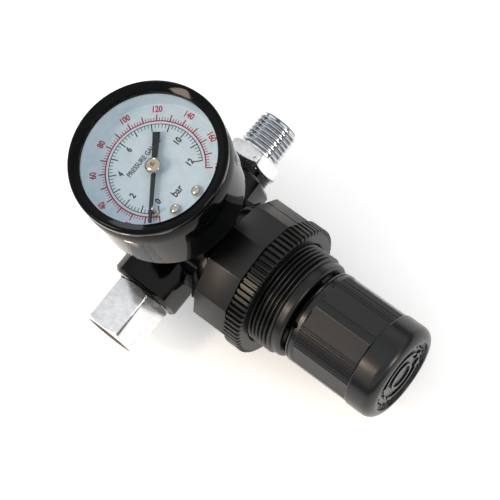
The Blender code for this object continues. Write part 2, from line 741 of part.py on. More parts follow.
def dial_direction(angle):
    """A direction across the dial: zero points up the dial, toward -X, and angles grow clockwise."""
    return -math.cos(angle), math.sin(angle)


def pointer():
    """Needle, waist and broad tail, cut from sheet; it points just past the stop pin."""
    one_side = [(-TAIL_LENGTH, 0.00105), (-0.0020, 0.00075), (0.0, 0.0013), (0.0020, 0.00065)]
    one_side += [(POINTER_LENGTH, POINTER_TIP_WIDTH / 2)]
    outline = one_side + [(x, -y) for x, y in reversed(one_side)]
    x, y = dial_direction(POINTER_ANGLE)
    ends = (POINTER_BOTTOM, POINTER_BOTTOM + POINTER_THICKNESS)
    piece = plate("pointer", outline, *ends, gauge_axes[1], turn=math.atan2(y, x))
    cut(piece, rod("pointer_hole", ARBOR_RADIUS + GAP, 0.0400, 0.0500, gauge_axes[1], 12))
    return finish(piece, "pointer_paint")


def pointer_hub():
    """The domed cap that holds the pointer on its arbor."""
    low = POINTER_BOTTOM + POINTER_THICKNESS + GAP
    profile = [(0.0005, low + 0.0015), (0.0014, low + 0.0013)]
    profile += [(HUB_RADIUS - 0.0003, low + 0.0007), (HUB_RADIUS, low + 0.0002), (HUB_RADIUS, low)]
    piece = solid_turned("pointer_hub", profile, gauge_axes[1], 32)
    cut(piece, rod("hub_bore", ARBOR_RADIUS + RUNNING, 0.0400, ARBOR_TOP + GAP, gauge_axes[1], 12))
    return finish(piece, "zinc_plate")


def gear_outline(teeth, numbers):
    """Trapezoid teeth, one for each number, on a wheel with that many teeth."""
    step = math.tau / teeth
    pitch = MODULE * teeth / 2
    root, tip = pitch - TOOTH_DEPTH[0], pitch + TOOTH_DEPTH[1]
    outline = []
    for number in numbers:
        for radius, offset in ((root, -0.27), (tip, -0.11), (tip, 0.11), (root, 0.27)):
            angle = (number + offset) * step
            outline.append((radius * math.cos(angle), radius * math.sin(angle)))
    return outline


def pinion():
    """The arbor with its ten-tooth pinion; it carries the pointer."""
    axis = gauge_axes[1]
    teeth = gear_outline(PINION_TEETH, range(PINION_TEETH))
    ends = (GEAR_LEVEL - GAP, GEAR_LEVEL + GEAR_WIDTH + GAP)
    half_tooth = math.pi / PINION_TEETH
    piece = plate("pinion_arbor", teeth, *ends, axis, turn=PIVOT_ANGLE + half_tooth)
    low = LOWER_PLATE + PLATE_THICKNESS / 4
    join(piece, rod("arbor", ARBOR_RADIUS, low, ARBOR_TOP, axis, 12))
    return finish(piece, "brass")


def sector_gear():
    """The toothed sector that the Bourdon tube turns through the link on its tail."""
    numbers = range(-9, 2)
    teeth = gear_outline(SECTOR_TEETH, numbers)
    inner = MODULE * SECTOR_TEETH / 2 - 0.0016
    first, last = (number * math.tau / SECTOR_TEETH for number in (numbers[0] - 0.5, numbers[-1] + 0.5))
    middle = (first + last) / 2
    rim = [(inner, angle) for angle in (last, middle + 0.25, middle + 0.10)]
    hub = [(0.0018, middle + 1.2), (0.0018, middle + 1.9), (TAIL_REACH, middle + math.pi - 0.22)]
    hub += [(TAIL_REACH, middle + math.pi + 0.22), (0.0018, middle - 1.9), (0.0018, middle - 1.2)]
    back = [(inner, angle) for angle in (middle - 0.10, middle - 0.25, first)]
    inside = [(r * math.cos(a), r * math.sin(a)) for r, a in rim + hub + back]
    turn = PIVOT_ANGLE + math.pi
    ends = (GEAR_LEVEL, GEAR_LEVEL + GEAR_WIDTH)
    piece = plate("sector_gear", teeth + inside, *ends, pivot_axis, turn=turn)
    low = LOWER_PLATE + PLATE_THICKNESS / 4
    join(piece, rod("sector_arbor", PIVOT_RADIUS, low, UPPER_PLATE + PLATE_THICKNESS, pivot_axis, 12))
    return finish(piece, "brass")


def tube_link():
    """The strip that hangs from the sector's tail toward the tube's tip."""
    numbers = (-9.5, 1.5)
    middle = sum(numbers) / 2 * math.tau / SECTOR_TEETH
    angle = PIVOT_ANGLE + math.pi + middle + math.pi
    reach = TAIL_REACH - 0.0006
    place = (reach * math.cos(angle), reach * math.sin(angle))
    low, high = TUBE_HIGH + 2 * GAP, GEAR_LEVEL - GAP
    size = (0.0006, 0.0014, high - low)
    piece = box("tube_link", size, pivot_axis, along=(low + high) / 2, at=place, turn=angle)
    return finish(piece, "brass")


def movement_plates():
    axis = gauge_axes[1]
    lower = ("lower_plate", LOWER_PLATE, LOWER_PLATE_RADIUS)
    upper = ("upper_plate", UPPER_PLATE, UPPER_PLATE_RADIUS)
    for name, low, radius in (lower, upper):
        piece = rod(name, radius, low, low + PLATE_THICKNESS, axis, 24)
        cut(piece, rod(f"{name}_arbor_hole", ARBOR_RADIUS + GAP, 0.0300, 0.0500, axis, 12))
        cut(piece, rod(f"{name}_pivot_hole", PIVOT_RADIUS + GAP, 0.0300, 0.0500, axis, 12, at=PIVOT_PLACE))
        if name == "upper_plate":
            for screw, place in DIAL_SCREWS.items():
                cut(piece, rod(f"{screw}_thread", 0.0011, 0.0300, 0.0500, axis, 12, at=place))
        finish(piece, "brass")
    for number, side in enumerate((-1, 1), start=1):
        ends = (LOWER_PLATE + PLATE_THICKNESS + GAP, UPPER_PLATE - GAP)
        pillar = rod(f"movement_pillar_{number}", 0.0013, *ends, axis, 20, at=(side * 0.0075, -0.0060))
        finish(pillar, "brass")


def bourdon_tube():
    """A flattened tube bent to a C; its fixed end meets the socket block."""
    half_block = 0.0026 + GAP
    start = TUBE_START - half_block / TUBE_RADIUS
    outline = []
    for radius, direction in ((TUBE_RADIUS + TUBE_WIDTH / 2, 1), (TUBE_RADIUS - TUBE_WIDTH / 2, -1)):
        count = 20
        for i in range(count + 1)[::direction]:
            angle = start - TUBE_SWEEP * i / count
            outline.append((radius * math.cos(angle), radius * math.sin(angle)))
    return finish(plate("bourdon_tube", outline, TUBE_LOW, TUBE_HIGH, gauge_axes[1]), "brass")


def hairspring():
    """The flat spiral that keeps the gear teeth pressed together."""
    height = (GEAR_LEVEL + GEAR_WIDTH + UPPER_PLATE) / 2
    points = coil_points((0.0016, 0.0045), (height, height), 2.5, 14)
    return wire("hairspring", points, 0.0002, gauge_axes[1], "spring_steel")


SEAL_THICKNESS = 0.0009
DIAPHRAGM_RADIUS = 0.0143
RIM_THICKNESS = 0.0018
PLATE_BOTTOM = DIAPHRAGM_SEAT + 0.0012 + 2 * GAP
PLATE_TOP = PLATE_BOTTOM + 0.0012
PLATE_STUB_RADIUS = 0.0018
STUB_TIP = PLATE_BOTTOM - 0.0022

VALVE_CHAMBER_RADIUS = 0.0055
VALVE_STEM_RADIUS = 0.0010
VALVE_TAIL_RADIUS = 0.0018
DISC_TOP = VALVE_SEAT - 2 * GAP - 0.0012
DISC_BOTTOM = DISC_TOP - 0.0020
CAP_SHANK_RADIUS = 0.0072
CAP_LEDGE = -0.0135
CAP_TOP = -0.0110

THRUST_WASHER = (SPRING_BORE_END - GAP - 0.0007, SPRING_BORE_END - GAP)
COLLAR = (THRUST_WASHER[0] - GAP - 0.0014, THRUST_WASHER[0] - GAP)
NUT = (COLLAR[0] - GAP - 0.0036, COLLAR[0] - GAP)
HEAD_FLATS = 0.0090
HEAD_START = STUB_END + 0.0010
HEAD_END = 0.0660
VENT_ANGLE = math.radians(121.5)

POINTER_TIP_WIDTH = 0.0009
ARBOR_TOP = POINTER_BOTTOM + POINTER_THICKNESS + 0.0010
SCREW_SHANK_RADIUS = 0.0008
DIAL_SCREWS = {"dial_screw_1": (0.0135, 0.0015), "dial_screw_2": (0.0122, -0.0058)}
STOP_PIN_PLACE = tuple(STOP_PIN_REACH * share for share in dial_direction(STOP_PIN_ANGLE))
POINTER_ANGLE = STOP_PIN_ANGLE + (STOP_PIN_RADIUS + POINTER_TIP_WIDTH / 2 + RUNNING) / STOP_PIN_REACH
PIVOT_ANGLE = math.radians(90)
CENTRE_DISTANCE = MODULE * (PINION_TEETH + SECTOR_TEETH) / 2 + 0.00005
PIVOT_PLACE = (CENTRE_DISTANCE * math.cos(PIVOT_ANGLE), CENTRE_DISTANCE * math.sin(PIVOT_ANGLE))
TUBE_START = math.radians(-45)
TUBE_SWEEP = math.radians(215)

clear_scene()
parts = new_collection("air_pressure_regulator")
cutters = new_collection("cutters")
finishes = {name: make_material(name, *look) for name, look in MATERIALS.items()}

centre = ((CAP_END + KNOB_END) / 2, (INLET_END + OUTLET_END) / 2, REST_PLANE)
level = ((1, 0, 0), (0, 1, 0), (0, 0, 1))
frame = new_empty("regulator_frame", level, [-value for value in centre])
knob_axis = new_empty("knob_axis", ((0, 1, 0), (0, 0, 1), (1, 0, 0)), (0, 0, 0), frame)
flow_axis = new_empty("flow_axis", ((0, 0, 1), (1, 0, 0), (0, 1, 0)), (0, 0, 0), frame)
gauge_axes = {
    1: new_empty("gauge_axis", level, (GAUGE_X, 0, 0), frame),
    -1: new_empty("rear_port_axis", ((1, 0, 0), (0, -1, 0), (0, 0, -1)), (GAUGE_X, 0, 0), frame),
}
pivot_axis = new_empty("pivot_axis", level, (*PIVOT_PLACE, 0.0), gauge_axes[1])

body()
bonnet()
panel_nut()
knob()
adjusting_screw()
thrust_washer()
spring_nut()
compression_spring("regulating_spring", 0.0070, 0.0016, PLATE_TOP + GAP, NUT[0] - GAP, 3.5, 10)
diaphragm()
slip_ring()
diaphragm_plate()
valve_poppet()
valve_face()
compression_spring("valve_spring", 0.0029, 0.0006, CAP_TOP + GAP, DISC_BOTTOM - GAP, 4, 8)
valve_cap()
cap_seal()
inlet_fitting()
outlet_fitting()
port_seals()
port_plug()
gauge_seals()
gauge_socket()
gauge_case()
gauge_bezel()
gauge_lens()
lens_gasket()
gauge_dial()
for screw_name, screw_place in DIAL_SCREWS.items():
    dial_screw(screw_name, screw_place)
stop_pin()
pointer()
pointer_hub()
pinion()
sector_gear()
tube_link()
movement_plates()
bourdon_tube()
hairspring()
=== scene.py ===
"""Finished look of an in-line air pressure regulator: cover, knob, ring, fittings, gauge and stage."""

import math

import bpy
from mathutils import Matrix, Vector


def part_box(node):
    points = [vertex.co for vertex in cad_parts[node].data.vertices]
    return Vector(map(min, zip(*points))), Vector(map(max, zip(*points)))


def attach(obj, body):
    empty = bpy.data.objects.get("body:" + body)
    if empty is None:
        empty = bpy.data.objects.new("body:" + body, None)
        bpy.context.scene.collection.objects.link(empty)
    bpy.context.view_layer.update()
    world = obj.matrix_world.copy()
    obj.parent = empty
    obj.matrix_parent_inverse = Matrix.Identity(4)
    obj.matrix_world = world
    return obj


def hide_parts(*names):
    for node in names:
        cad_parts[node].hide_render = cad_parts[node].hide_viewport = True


bl_info = {
    "name": "Air pressure regulator",
    "version": (1, 0, 0),
    "blender": (4, 5, 0),
    "location": "View3D > Sidebar > Regulator",
    "description": "Models and finishes the pieces of an in-line air pressure regulator",
    "category": "Object",
}

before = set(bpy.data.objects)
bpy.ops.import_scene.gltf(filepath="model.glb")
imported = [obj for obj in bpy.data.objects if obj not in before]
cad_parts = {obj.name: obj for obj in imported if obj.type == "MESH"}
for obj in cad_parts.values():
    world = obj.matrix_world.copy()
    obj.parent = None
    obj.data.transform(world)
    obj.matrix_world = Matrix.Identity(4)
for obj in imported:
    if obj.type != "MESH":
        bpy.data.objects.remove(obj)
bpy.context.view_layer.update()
MM = 0.001


def middle(node):
    low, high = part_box(node)
    return (low + high) / 2


# The axes of the knob, the air flow and the gauge meet the crossing point.
CROSSING = Vector((middle("inlet_fitting").x, middle("knob").y, middle("knob").z))
GAUGE_OFFSET = (middle("gauge_case").x - CROSSING.x) / MM


def axis_place(across, up, along, origin=(0, 0, 0)):
    """The matrix that puts a piece's local X, Y and Z along three directions at the crossing."""
    turn = Matrix((across, up, along)).transposed().to_4x4()
    return Matrix.Translation(CROSSING + Vector(origin) * MM) @ turn


KNOB_AXIS = axis_place((0, 1, 0), (0, 0, 1), (1, 0, 0))
FLOW_AXIS = axis_place((0, 0, 1), (1, 0, 0), (0, 1, 0))
GAUGE_AXIS = axis_place((1, 0, 0), (0, 1, 0), (0, 0, 1), (GAUGE_OFFSET, 0, 0))

# Stations in millimetres from the crossing point, as the CAD nodes have them.
BONNET_BACK, BONNET_SHOULDER = 16.7, 28.1
BONNET_RADIUS, BONNET_TURN = 20.7, math.radians(21.1)
NECK_CREST, NOSE_RADIUS, NOSE_END = 16.1, 15.35, 43.9
SPRING_ROOM, COVER_BORE, COVER_STEP = 12.5, 16.7, 20.8
THREAD_END, NOSE_BORE, NOSE_FLOOR = 41.6, 13.3, 41.4
STUB_RADIUS, STUB_END, STUB_BACK, SCREW_HOLE = 8.5, 49.0, 39.3, 3.7
RING_BACK, RING_FRONT, RING_RADIUS, RING_BORE = 28.4, 33.9, 20.95, 16.4
KNOB_START, KNOB_END, KNOB_RADIUS, KNOB_BAND = 44.7, 75.8, 14.65, 14.9
INLET_END, INLET_FACE = -40.0, -24.6
OUTLET_FACE, OUTLET_HEX_END, OUTLET_END = 23.5, 28.0, 39.4
HEX_FLATS = 17.0
CASE_BOTTOM, CASE_RADIUS, CASE_TOP, CASE_STEP = 26.7, 21.2, 51.5, 45.7
BEZEL_BOTTOM, BEZEL_TOP, BEZEL_RADIUS, DIAL_OPENING = 46.0, 54.2, 21.85, 18.8
LENS_BOTTOM, LENS_EDGE, LENS_RADIUS = 50.9, 52.0, 20.2
DIAL_FACE = 44.9
POINTER_TOP = 46.6
# The scales start at -135 degrees from the dial's top. A bar takes 22.5 degrees, a psi 1.5517.
SCALE_START, SCALE_SWEEP = -135.0, 270.0
BAR_STEP, PSI_STEP = 22.5, 1.5517
PRINT_HEIGHT = 0.03
# The first of the knob's four narrow ribs, and the vent hole in its skirt.
RIB_ANGLE = math.radians(86)
VENT_ANGLE, VENT_HEIGHT, VENT_RADIUS = math.radians(121.5), 46.1, 0.95
# The radial size and the width of the cutter for the cover's mould line.
MOULD_LINE = (0.9, 0.4)
# A spin about +Z by a positive angle turns clockwise, seen from above.
SPIN_SIGN = -1.0


# ---------------------------------------------------------------- small tools


def select_nothing():
    if bpy.context.object and bpy.context.object.mode != "OBJECT":
        bpy.ops.object.mode_set(mode="OBJECT")
    bpy.ops.object.select_all(action="DESELECT")


def make_active(piece):
    select_nothing()
    piece.select_set(True)
    bpy.context.view_layer.objects.active = piece


def edit(piece, kind="VERT", everything=False):
    """Goes into edit mode on one piece, with all of it or nothing selected."""
    make_active(piece)
    bpy.ops.object.mode_set(mode="EDIT")
    bpy.ops.mesh.select_mode(type=kind)
    bpy.ops.mesh.select_all(action="SELECT" if everything else "DESELECT")


def pick(piece, test):
    """Selects the vertices whose place, in millimetres, passes the test, and stays in edit mode."""
    edit(piece)
    bpy.ops.object.mode_set(mode="OBJECT")
    for vertex in piece.data.vertices:
        vertex.select = test(vertex.co / MM)
    bpy.ops.object.mode_set(mode="EDIT")


def press(piece, test, factor):
    """Moves the picked vertices toward or away from the local Z axis."""
    pick(piece, test)
    bpy.ops.transform.resize(value=(factor, factor, 1.0), center_override=(0.0, 0.0, 0.0))
    bpy.ops.object.mode_set(mode="OBJECT")


def tidy_mesh(piece):
    """Merges doubles and turns the faces outwards."""
    edit(piece, everything=True)
    bpy.ops.mesh.remove_doubles(threshold=2e-6)
    bpy.ops.mesh.normals_make_consistent(inside=False)
    bpy.ops.object.mode_set(mode="OBJECT")


def lathe(name, profile, sides, loop=False):
    """A turned shape about local Z from (radius, height) pairs in millimetres, closed at both ends."""
    select_nothing()
    radius, height = profile[0]
    place = (0.0, 0.0, height * MM)
    bpy.ops.mesh.primitive_circle_add(vertices=sides, radius=radius * MM, location=place)
    piece = bpy.context.object
    piece.name = name
    piece.data.name = name
    bpy.ops.object.transform_apply(location=True, rotation=True, scale=True)
    edit(piece, "EDGE", everything=True)
    rings = [*profile[1:], profile[0]] if loop else profile[1:]
    for next_radius, next_height in rings:
        move = (0.0, 0.0, (next_height - height) * MM)
        bpy.ops.mesh.extrude_region_move(TRANSFORM_OT_translate={"value": move})
        grow = next_radius / radius
        if grow != 1.0:
            bpy.ops.transform.resize(value=(grow, grow, 1.0), center_override=(0.0, 0.0, 0.0))
        radius, height = next_radius, next_height
    if not loop:
        bpy.ops.mesh.edge_face_add()
        bpy.ops.mesh.select_all(action="DESELECT")
        bpy.ops.mesh.select_non_manifold()
        bpy.ops.mesh.edge_face_add()
    bpy.ops.object.mode_set(mode="OBJECT")
    tidy_mesh(piece)
    return piece


def curve_in(centre, radius, start, end, steps):
    """Points of a rounded edge in a profile, with its angles in degrees from outward to upward."""
    angles = [math.radians(start + (end - start) * i / steps) for i in range(steps + 1)]
    return [(centre[0] + radius * math.cos(a), centre[1] + radius * math.sin(a)) for a in angles]


def block(name, size, centre, turn=0.0):
    """A block in millimetres, turned about local Z through its place."""
    select_nothing()
    bpy.ops.mesh.primitive_cube_add(size=1.0)
    piece = bpy.context.object
    piece.name = name
    piece.data.name = name
    spin = Matrix.Rotation(turn, 4, "Z") @ Matrix.Translation(Vector(centre) * MM)
    piece.matrix_world = spin @ Matrix.Diagonal((*(s * MM for s in size), 1.0))
    bpy.ops.object.transform_apply(location=True, rotation=True, scale=True)
    return piece


def combine(piece, tool, operation="DIFFERENCE"):
    """Cuts a tool out of a piece, or joins it on, and removes the tool."""
    make_active(piece)
    boolean = piece.modifiers.new("Cut", "BOOLEAN")
    boolean.operation = operation
    boolean.solver = "EXACT"
    boolean.object = tool
    bpy.ops.object.modifier_apply(modifier=boolean.name)
    bpy.data.objects.remove(tool, do_unlink=True)


def break_edges(piece, width, segments=2, degrees=28):
    """Bevels the edges sharper than an angle, by a width in millimetres."""
    make_active(piece)
    bevel = piece.modifiers.new("Edges", "BEVEL")
    bevel.width = width * MM
    bevel.segments = segments
    bevel.limit_method = "ANGLE"
    bevel.angle_limit = math.radians(degrees)
    bpy.ops.object.modifier_apply(modifier=bevel.name)


def settle(piece, place, body, finish, replaces=(), degrees=32):
    """Puts a piece in its place, gives it its finish and lets it ride on its CAD body."""
    make_active(piece)
    piece.matrix_world = place
    bpy.ops.object.transform_apply(location=True, rotation=True, scale=True)
    piece.data.materials.clear()
    piece.data.materials.append(bpy.data.materials[finish])
    bpy.ops.object.shade_smooth_by_angle(angle=math.radians(degrees))
    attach(piece, body)
    if replaces:
        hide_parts(*replaces)
    return piece


def dressed(name, node, body, finish, width, degrees=32):
    """A CAD node's shape as a piece of its own, with its edges broken."""
    select_nothing()
    piece = bpy.data.objects.new(name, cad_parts[node].data.copy())
    bpy.context.scene.collection.objects.link(piece)
    edit(piece, everything=True)
    bpy.ops.mesh.remove_doubles(threshold=1e-6)
    bpy.ops.mesh.dissolve_limited(angle_limit=math.radians(0.5))
    bpy.ops.object.mode_set(mode="OBJECT")
    break_edges(piece, width, 2, degrees)
    return settle(piece, Matrix.Identity(4), body, finish, (node,), degrees=36)


def joined(name, pieces):
    """Several loose shapes as one piece."""
    select_nothing()
    for piece in pieces:
        piece.select_set(True)
    bpy.context.view_layer.objects.active = pieces[0]
    bpy.ops.object.join()
    pieces[0].name = name
    pieces[0].data.name = name
    return pieces[0]


# ---------------------------------------------------------------- finishes


def linear(hex_colour):
    """An sRGB hex colour as linear light."""
    channels = [int(hex_colour[i : i + 2], 16) / 255 for i in (1, 3, 5)]
    return [c / 12.92 if c <= 0.04045 else ((c + 0.055) / 1.055) ** 2.4 for c in channels]


def add_node(tree, kind, settings=None, links=None):
    """Adds a node, sets its properties and input values, and links its inputs."""
    node = tree.nodes.new(kind)
    for key, value in (settings or {}).items():
        if key in node.inputs:
            node.inputs[key].default_value = value
        else:
            setattr(node, key, value)
    for key, source in (links or {}).items():
        tree.links.new(source, node.inputs[key])
    return node


NODE_FINISHES = {
    "adjusting_screw": "bright_zinc_plate",
    "bourdon_tube": "turned_brass",
    "cap_seal": "moulded_nitrile",
    "diaphragm": "moulded_nitrile",
    "diaphragm_plate": "bright_zinc_plate",
    "gauge_seal": "moulded_nitrile",
    "hairspring": "drawn_spring_wire",
    "inlet_seal": "moulded_nitrile",
    "lens_gasket": "moulded_nitrile",
    "lower_plate": "turned_brass",
    "movement_pillar_1": "turned_brass",
    "movement_pillar_2": "turned_brass",
    "outlet_seal": "moulded_nitrile",
    "pinion_arbor": "turned_brass",
    "plug_seal": "moulded_nitrile",
    "regulating_spring": "drawn_spring_wire",
    "sector_gear": "turned_brass",
    "slip_ring": "natural_acetal",
    "spring_nut": "turned_brass",
    "thrust_washer": "natural_acetal",
    "tube_link": "turned_brass",
    "upper_plate": "turned_brass",
    "valve_face": "moulded_nitrile",
    "valve_poppet": "turned_brass",
    "valve_spring": "drawn_spring_wire",
}


def surface(
    name, colour, roughness, metallic=0.0, grain=1.0, spread=0.1, bump=0.0, tint=None, **sockets
):
    """A finish whose roughness, colour and relief vary over a grain of so many millimetres.

    A colour is an sRGB hex or the linear colour that a property holds. The tint is the colour of the
    duller patches.
    """
    crest, hollow = (
        linear(each) if isinstance(each, str) else list(each) for each in (colour, tint or colour)
    )
    material = bpy.data.materials.new(name)
    material.use_nodes = True
    tree = material.node_tree
    shader = tree.nodes["Principled BSDF"]
    place = add_node(tree, "ShaderNodeTexCoord").outputs["Object"]
    size = {"Scale": 1.0 / (grain * MM), "Detail": 4.0, "Roughness": 0.6}
    noise = add_node(tree, "ShaderNodeTexNoise", size, {"Vector": place})
    dull = {"To Min": roughness * (1 - spread), "To Max": roughness * (1 + spread)}
    rough = add_node(tree, "ShaderNodeMapRange", dull, {"Value": noise.outputs["Fac"]})
    tree.links.new(rough.outputs["Result"], shader.inputs["Roughness"])
    shades = add_node(tree, "ShaderNodeValToRGB", None, {"Fac": noise.outputs["Fac"]})
    shades.color_ramp.elements[0].color = (*hollow, 1.0)
    shades.color_ramp.elements[1].color = (*crest, 1.0)
    shades.color_ramp.elements[0].position = 0.35
    shades.color_ramp.elements[1].position = 0.65
    tree.links.new(shades.outputs["Color"], shader.inputs["Base Color"])
    shader.inputs["Metallic"].default_value = metallic
    if bump:
        relief = {"Strength": 0.6, "Distance": bump * MM}
        height = add_node(tree, "ShaderNodeBump", relief, {"Height": noise.outputs["Fac"]})
        tree.links.new(height.outputs["Normal"], shader.inputs["Normal"])
    for key, value in sockets.items():
        shader.inputs[key.replace("_", " ")].default_value = value
    return material


def colour_setting(label, description, hex_colour):
    """A colour that the sidebar offers, with its default as an sRGB hex."""
    return bpy.props.FloatVectorProperty(
        name=label,
        description=description,
        subtype="COLOR",
        default=linear(hex_colour),
        min=0.0,
        max=1.0,
    )


def size_setting(label, description, default, low, high):
    """A size that the sidebar offers, in millimetres."""
    return bpy.props.FloatProperty(
        name=label, description=description, default=default, min=low, max=high, precision=3
    )


class RegulatorColours(bpy.types.PropertyGroup):
    """Colours of the finishes."""

    casting: colour_setting("Casting", "Enamel on the die-cast body", "#020203")
    case: colour_setting("Gauge case", "Enamel on the gauge case and its bezel", "#020304")
    cover: colour_setting("Cover", "Nylon of the cover, neck and panel ring", "#08090A")
    knob: colour_setting("Knob", "Nylon of the knob", "#0B0D10")
    dial: colour_setting("Dial", "Paint of the dial's ground", "#CCDEE9")
    bar_print: colour_setting("Bar print", "Ink of the inner scale and the words", "#0C0E12")
    psi_print: colour_setting("Psi print", "Ink of the outer scale", "#B5133A")


class RegulatorSizes(bpy.types.PropertyGroup):
    """Sizes of the moulded and machined detail, in millimetres."""

    ring_grooves: bpy.props.IntProperty(
        name="Ring grooves",
        description="Number of grooves round the panel ring",
        default=72,
        min=12,
        max=120,
    )
    groove_depth: size_setting("Groove depth", "Depth of the ring's grooves, mm", 0.85, 0.1, 2.0)
    neck_pitch: size_setting("Neck pitch", "Pitch of the neck's thread, mm", 1.35, 1.25, 3.0)
    flute_depth: size_setting("Flute depth", "Depth of the knob's fine flutes, mm", 0.28, 0.05, 1.0)
    port_pitch: size_setting("Port pitch", "Pitch of the port threads, mm", 1.337, 1.3, 3.0)


class REGULATOR_OT_finishes(bpy.types.Operator):
    """Makes every finish and gives the CAD nodes that stay in view theirs"""

    bl_idname = "regulator.finishes"
    bl_label = "Finishes"

    def execute(self, context):
        colours = context.scene.regulator_colours
        # Stove enamel on the casting: a thick gloss film, mirror dark, with a faint orange peel.
        surface(
            "casting_enamel", colours.casting, 0.10,
            grain=1.2, spread=0.3, bump=0.008, Specular_IOR_Level=0.2,
        )
        # The same enamel on drawn steel: flatter still, so it mirrors with clean edges.
        surface(
            "case_enamel", colours.case, 0.07,
            grain=2.0, spread=0.3, bump=0.003, Specular_IOR_Level=0.11,
        )
        # Moulded glass-filled nylon: satin, with a fine mottle where fibres reach the skin. The
        # fibres themselves are much finer than this grain, too fine to show.
        surface(
            "glass_filled_nylon", colours.cover, 0.33,
            grain=0.45, spread=0.3, bump=0.02, tint="#040405", Specular_IOR_Level=0.4,
        )
        # The knob's nylon comes from a finer mould: smoother, and its flats catch broad soft light.
        surface(
            "knob_nylon", colours.knob, 0.27,
            grain=0.5, spread=0.25, bump=0.008, tint="#07090B", Specular_IOR_Level=0.43,
        )
        # Bright zinc plate on turned steel: near-white metal with a soft, uneven haze.
        surface(
            "bright_zinc_plate", "#E8EAEC", 0.15, 0.9,
            grain=1.6, spread=0.4, bump=0.003, tint="#D6D9DC",
        )
        # Painted shade inside a port: the bore's faces get a brownish, dimmer metal.
        surface("bore_painted_shade", "#6E675C", 0.30, 1.0, grain=0.8, spread=0.4, bump=0.006, tint="#4A443B")
        # Painted shade on one flank of every thread ring, so a thread reads as dark and bright lines.
        surface(
            "thread_flank_painted_shade", "#7E838A", 0.20, 1.0,
            grain=0.6, spread=0.4, bump=0.004, tint="#5C6168",
        )
        # Nickel plate on turned brass: warm and mirror bright.
        surface("nickel_plate", "#CFC6BA", 0.10, 1.0, grain=0.5, spread=0.3, bump=0.002, tint="#BDB3A5")
        # Turned brass, unplated: yellow, with an uneven, slightly dull sheen.
        surface("turned_brass", "#C9A24E", 0.28, 1.0, grain=0.7, spread=0.3, bump=0.006, tint="#A98438")
        # Cold-drawn spring steel: grey, with a soft uneven gloss.
        surface(
            "drawn_spring_wire", "#A9ACB0", 0.30, 1.0,
            grain=0.4, spread=0.3, bump=0.004, tint="#8E9196",
        )
        # Moulded nitrile rubber: flat black-grey, with almost no gloss.
        surface("moulded_nitrile", "#1B1B1B", 0.75, grain=0.5, spread=0.1, bump=0.015, tint="#141414")
        # Sprayed paint on the aluminium dial: an even, pale matt ground.
        surface(
            "dial_face_paint", colours.dial, 0.5,
            grain=3.0, spread=0.1, bump=0.002, tint="#C1D4E0",
        )
        # Black paint on the pointer: satin, so that it reads against the dial at every angle.
        surface("needle_paint", "#111214", 0.42, grain=0.4, spread=0.2, bump=0.004)
        # Screen-printed inks: thin, flat and sharp at their edges.
        surface("scale_black", colours.bar_print, 0.55, grain=0.3, spread=0.2, bump=0.002)
        surface(
            "scale_red", colours.psi_print, 0.55,
            grain=0.3, spread=0.2, bump=0.002, tint="#A81034",
        )
        # Machined acetal: milky white and slightly waxy.
        surface("natural_acetal", "#E6E3D8", 0.45, grain=1.0, spread=0.1, bump=0.004)
        # Moulded acrylic window: clear, seen only by its gloss.
        surface("window_acrylic", "#304454", 0.03, grain=8.0, spread=0.3, Alpha=0.06)
        for node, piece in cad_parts.items():
            finish = NODE_FINISHES.get(node)
            if finish:
                piece.data.materials.clear()
                piece.data.materials.append(bpy.data.materials[finish])
        return {"FINISHED"}


# ---------------------------------------------------------------- body, cover, ring and knob


class REGULATOR_OT_casting(bpy.types.Operator):
    """Dresses the body casting and the small parts screwed into it"""

    bl_idname = "regulator.casting"
    bl_label = "Casting"

    def execute(self, context):
        dressed("body_casting", "regulator_body", "regulator", "casting_enamel", 0.25)
        dressed("valve_cap_piece", "valve_cap", "regulator", "glass_filled_nylon", 0.2)
        dressed("plug_piece", "port_plug", "regulator", "bright_zinc_plate", 0.25)
        dressed("gauge_socket_piece", "gauge_socket", "regulator", "turned_brass", 0.2)
        return {"FINISHED"}


class REGULATOR_OT_cover(bpy.types.Operator):
    """Models the twelve-sided cover with its bores and its mould line"""

    bl_idname = "regulator.cover"
    bl_label = "Cover"

    def execute(self, context):
        base = [(BONNET_RADIUS, BONNET_BACK), (BONNET_RADIUS, BONNET_SHOULDER)]
        cover = lathe("cover", base, 12)
        bore = [(COVER_BORE, BONNET_BACK - 1.0), (COVER_BORE, COVER_STEP), (SPRING_ROOM, COVER_STEP)]
        bore += [(SPRING_ROOM, BONNET_SHOULDER + 1.0)]
        combine(cover, lathe("cover_bore", bore, 64))
        break_edges(cover, 0.22, 2, 25)
        length = BONNET_SHOULDER - BONNET_BACK + 2.0
        apothem = BONNET_RADIUS * math.cos(math.pi / 12)
        centre = (apothem, 0.0, (BONNET_SHOULDER + BONNET_BACK) / 2)
        for facet in (0.5, 6.5):
            turn = facet * math.tau / 12
            combine(cover, block("mould_line", (*MOULD_LINE, length), centre, turn))
        place = KNOB_AXIS @ Matrix.Rotation(BONNET_TURN, 4, "Z")
        settle(cover, place, "regulator", "glass_filled_nylon", ("bonnet",))
        return {"FINISHED"}


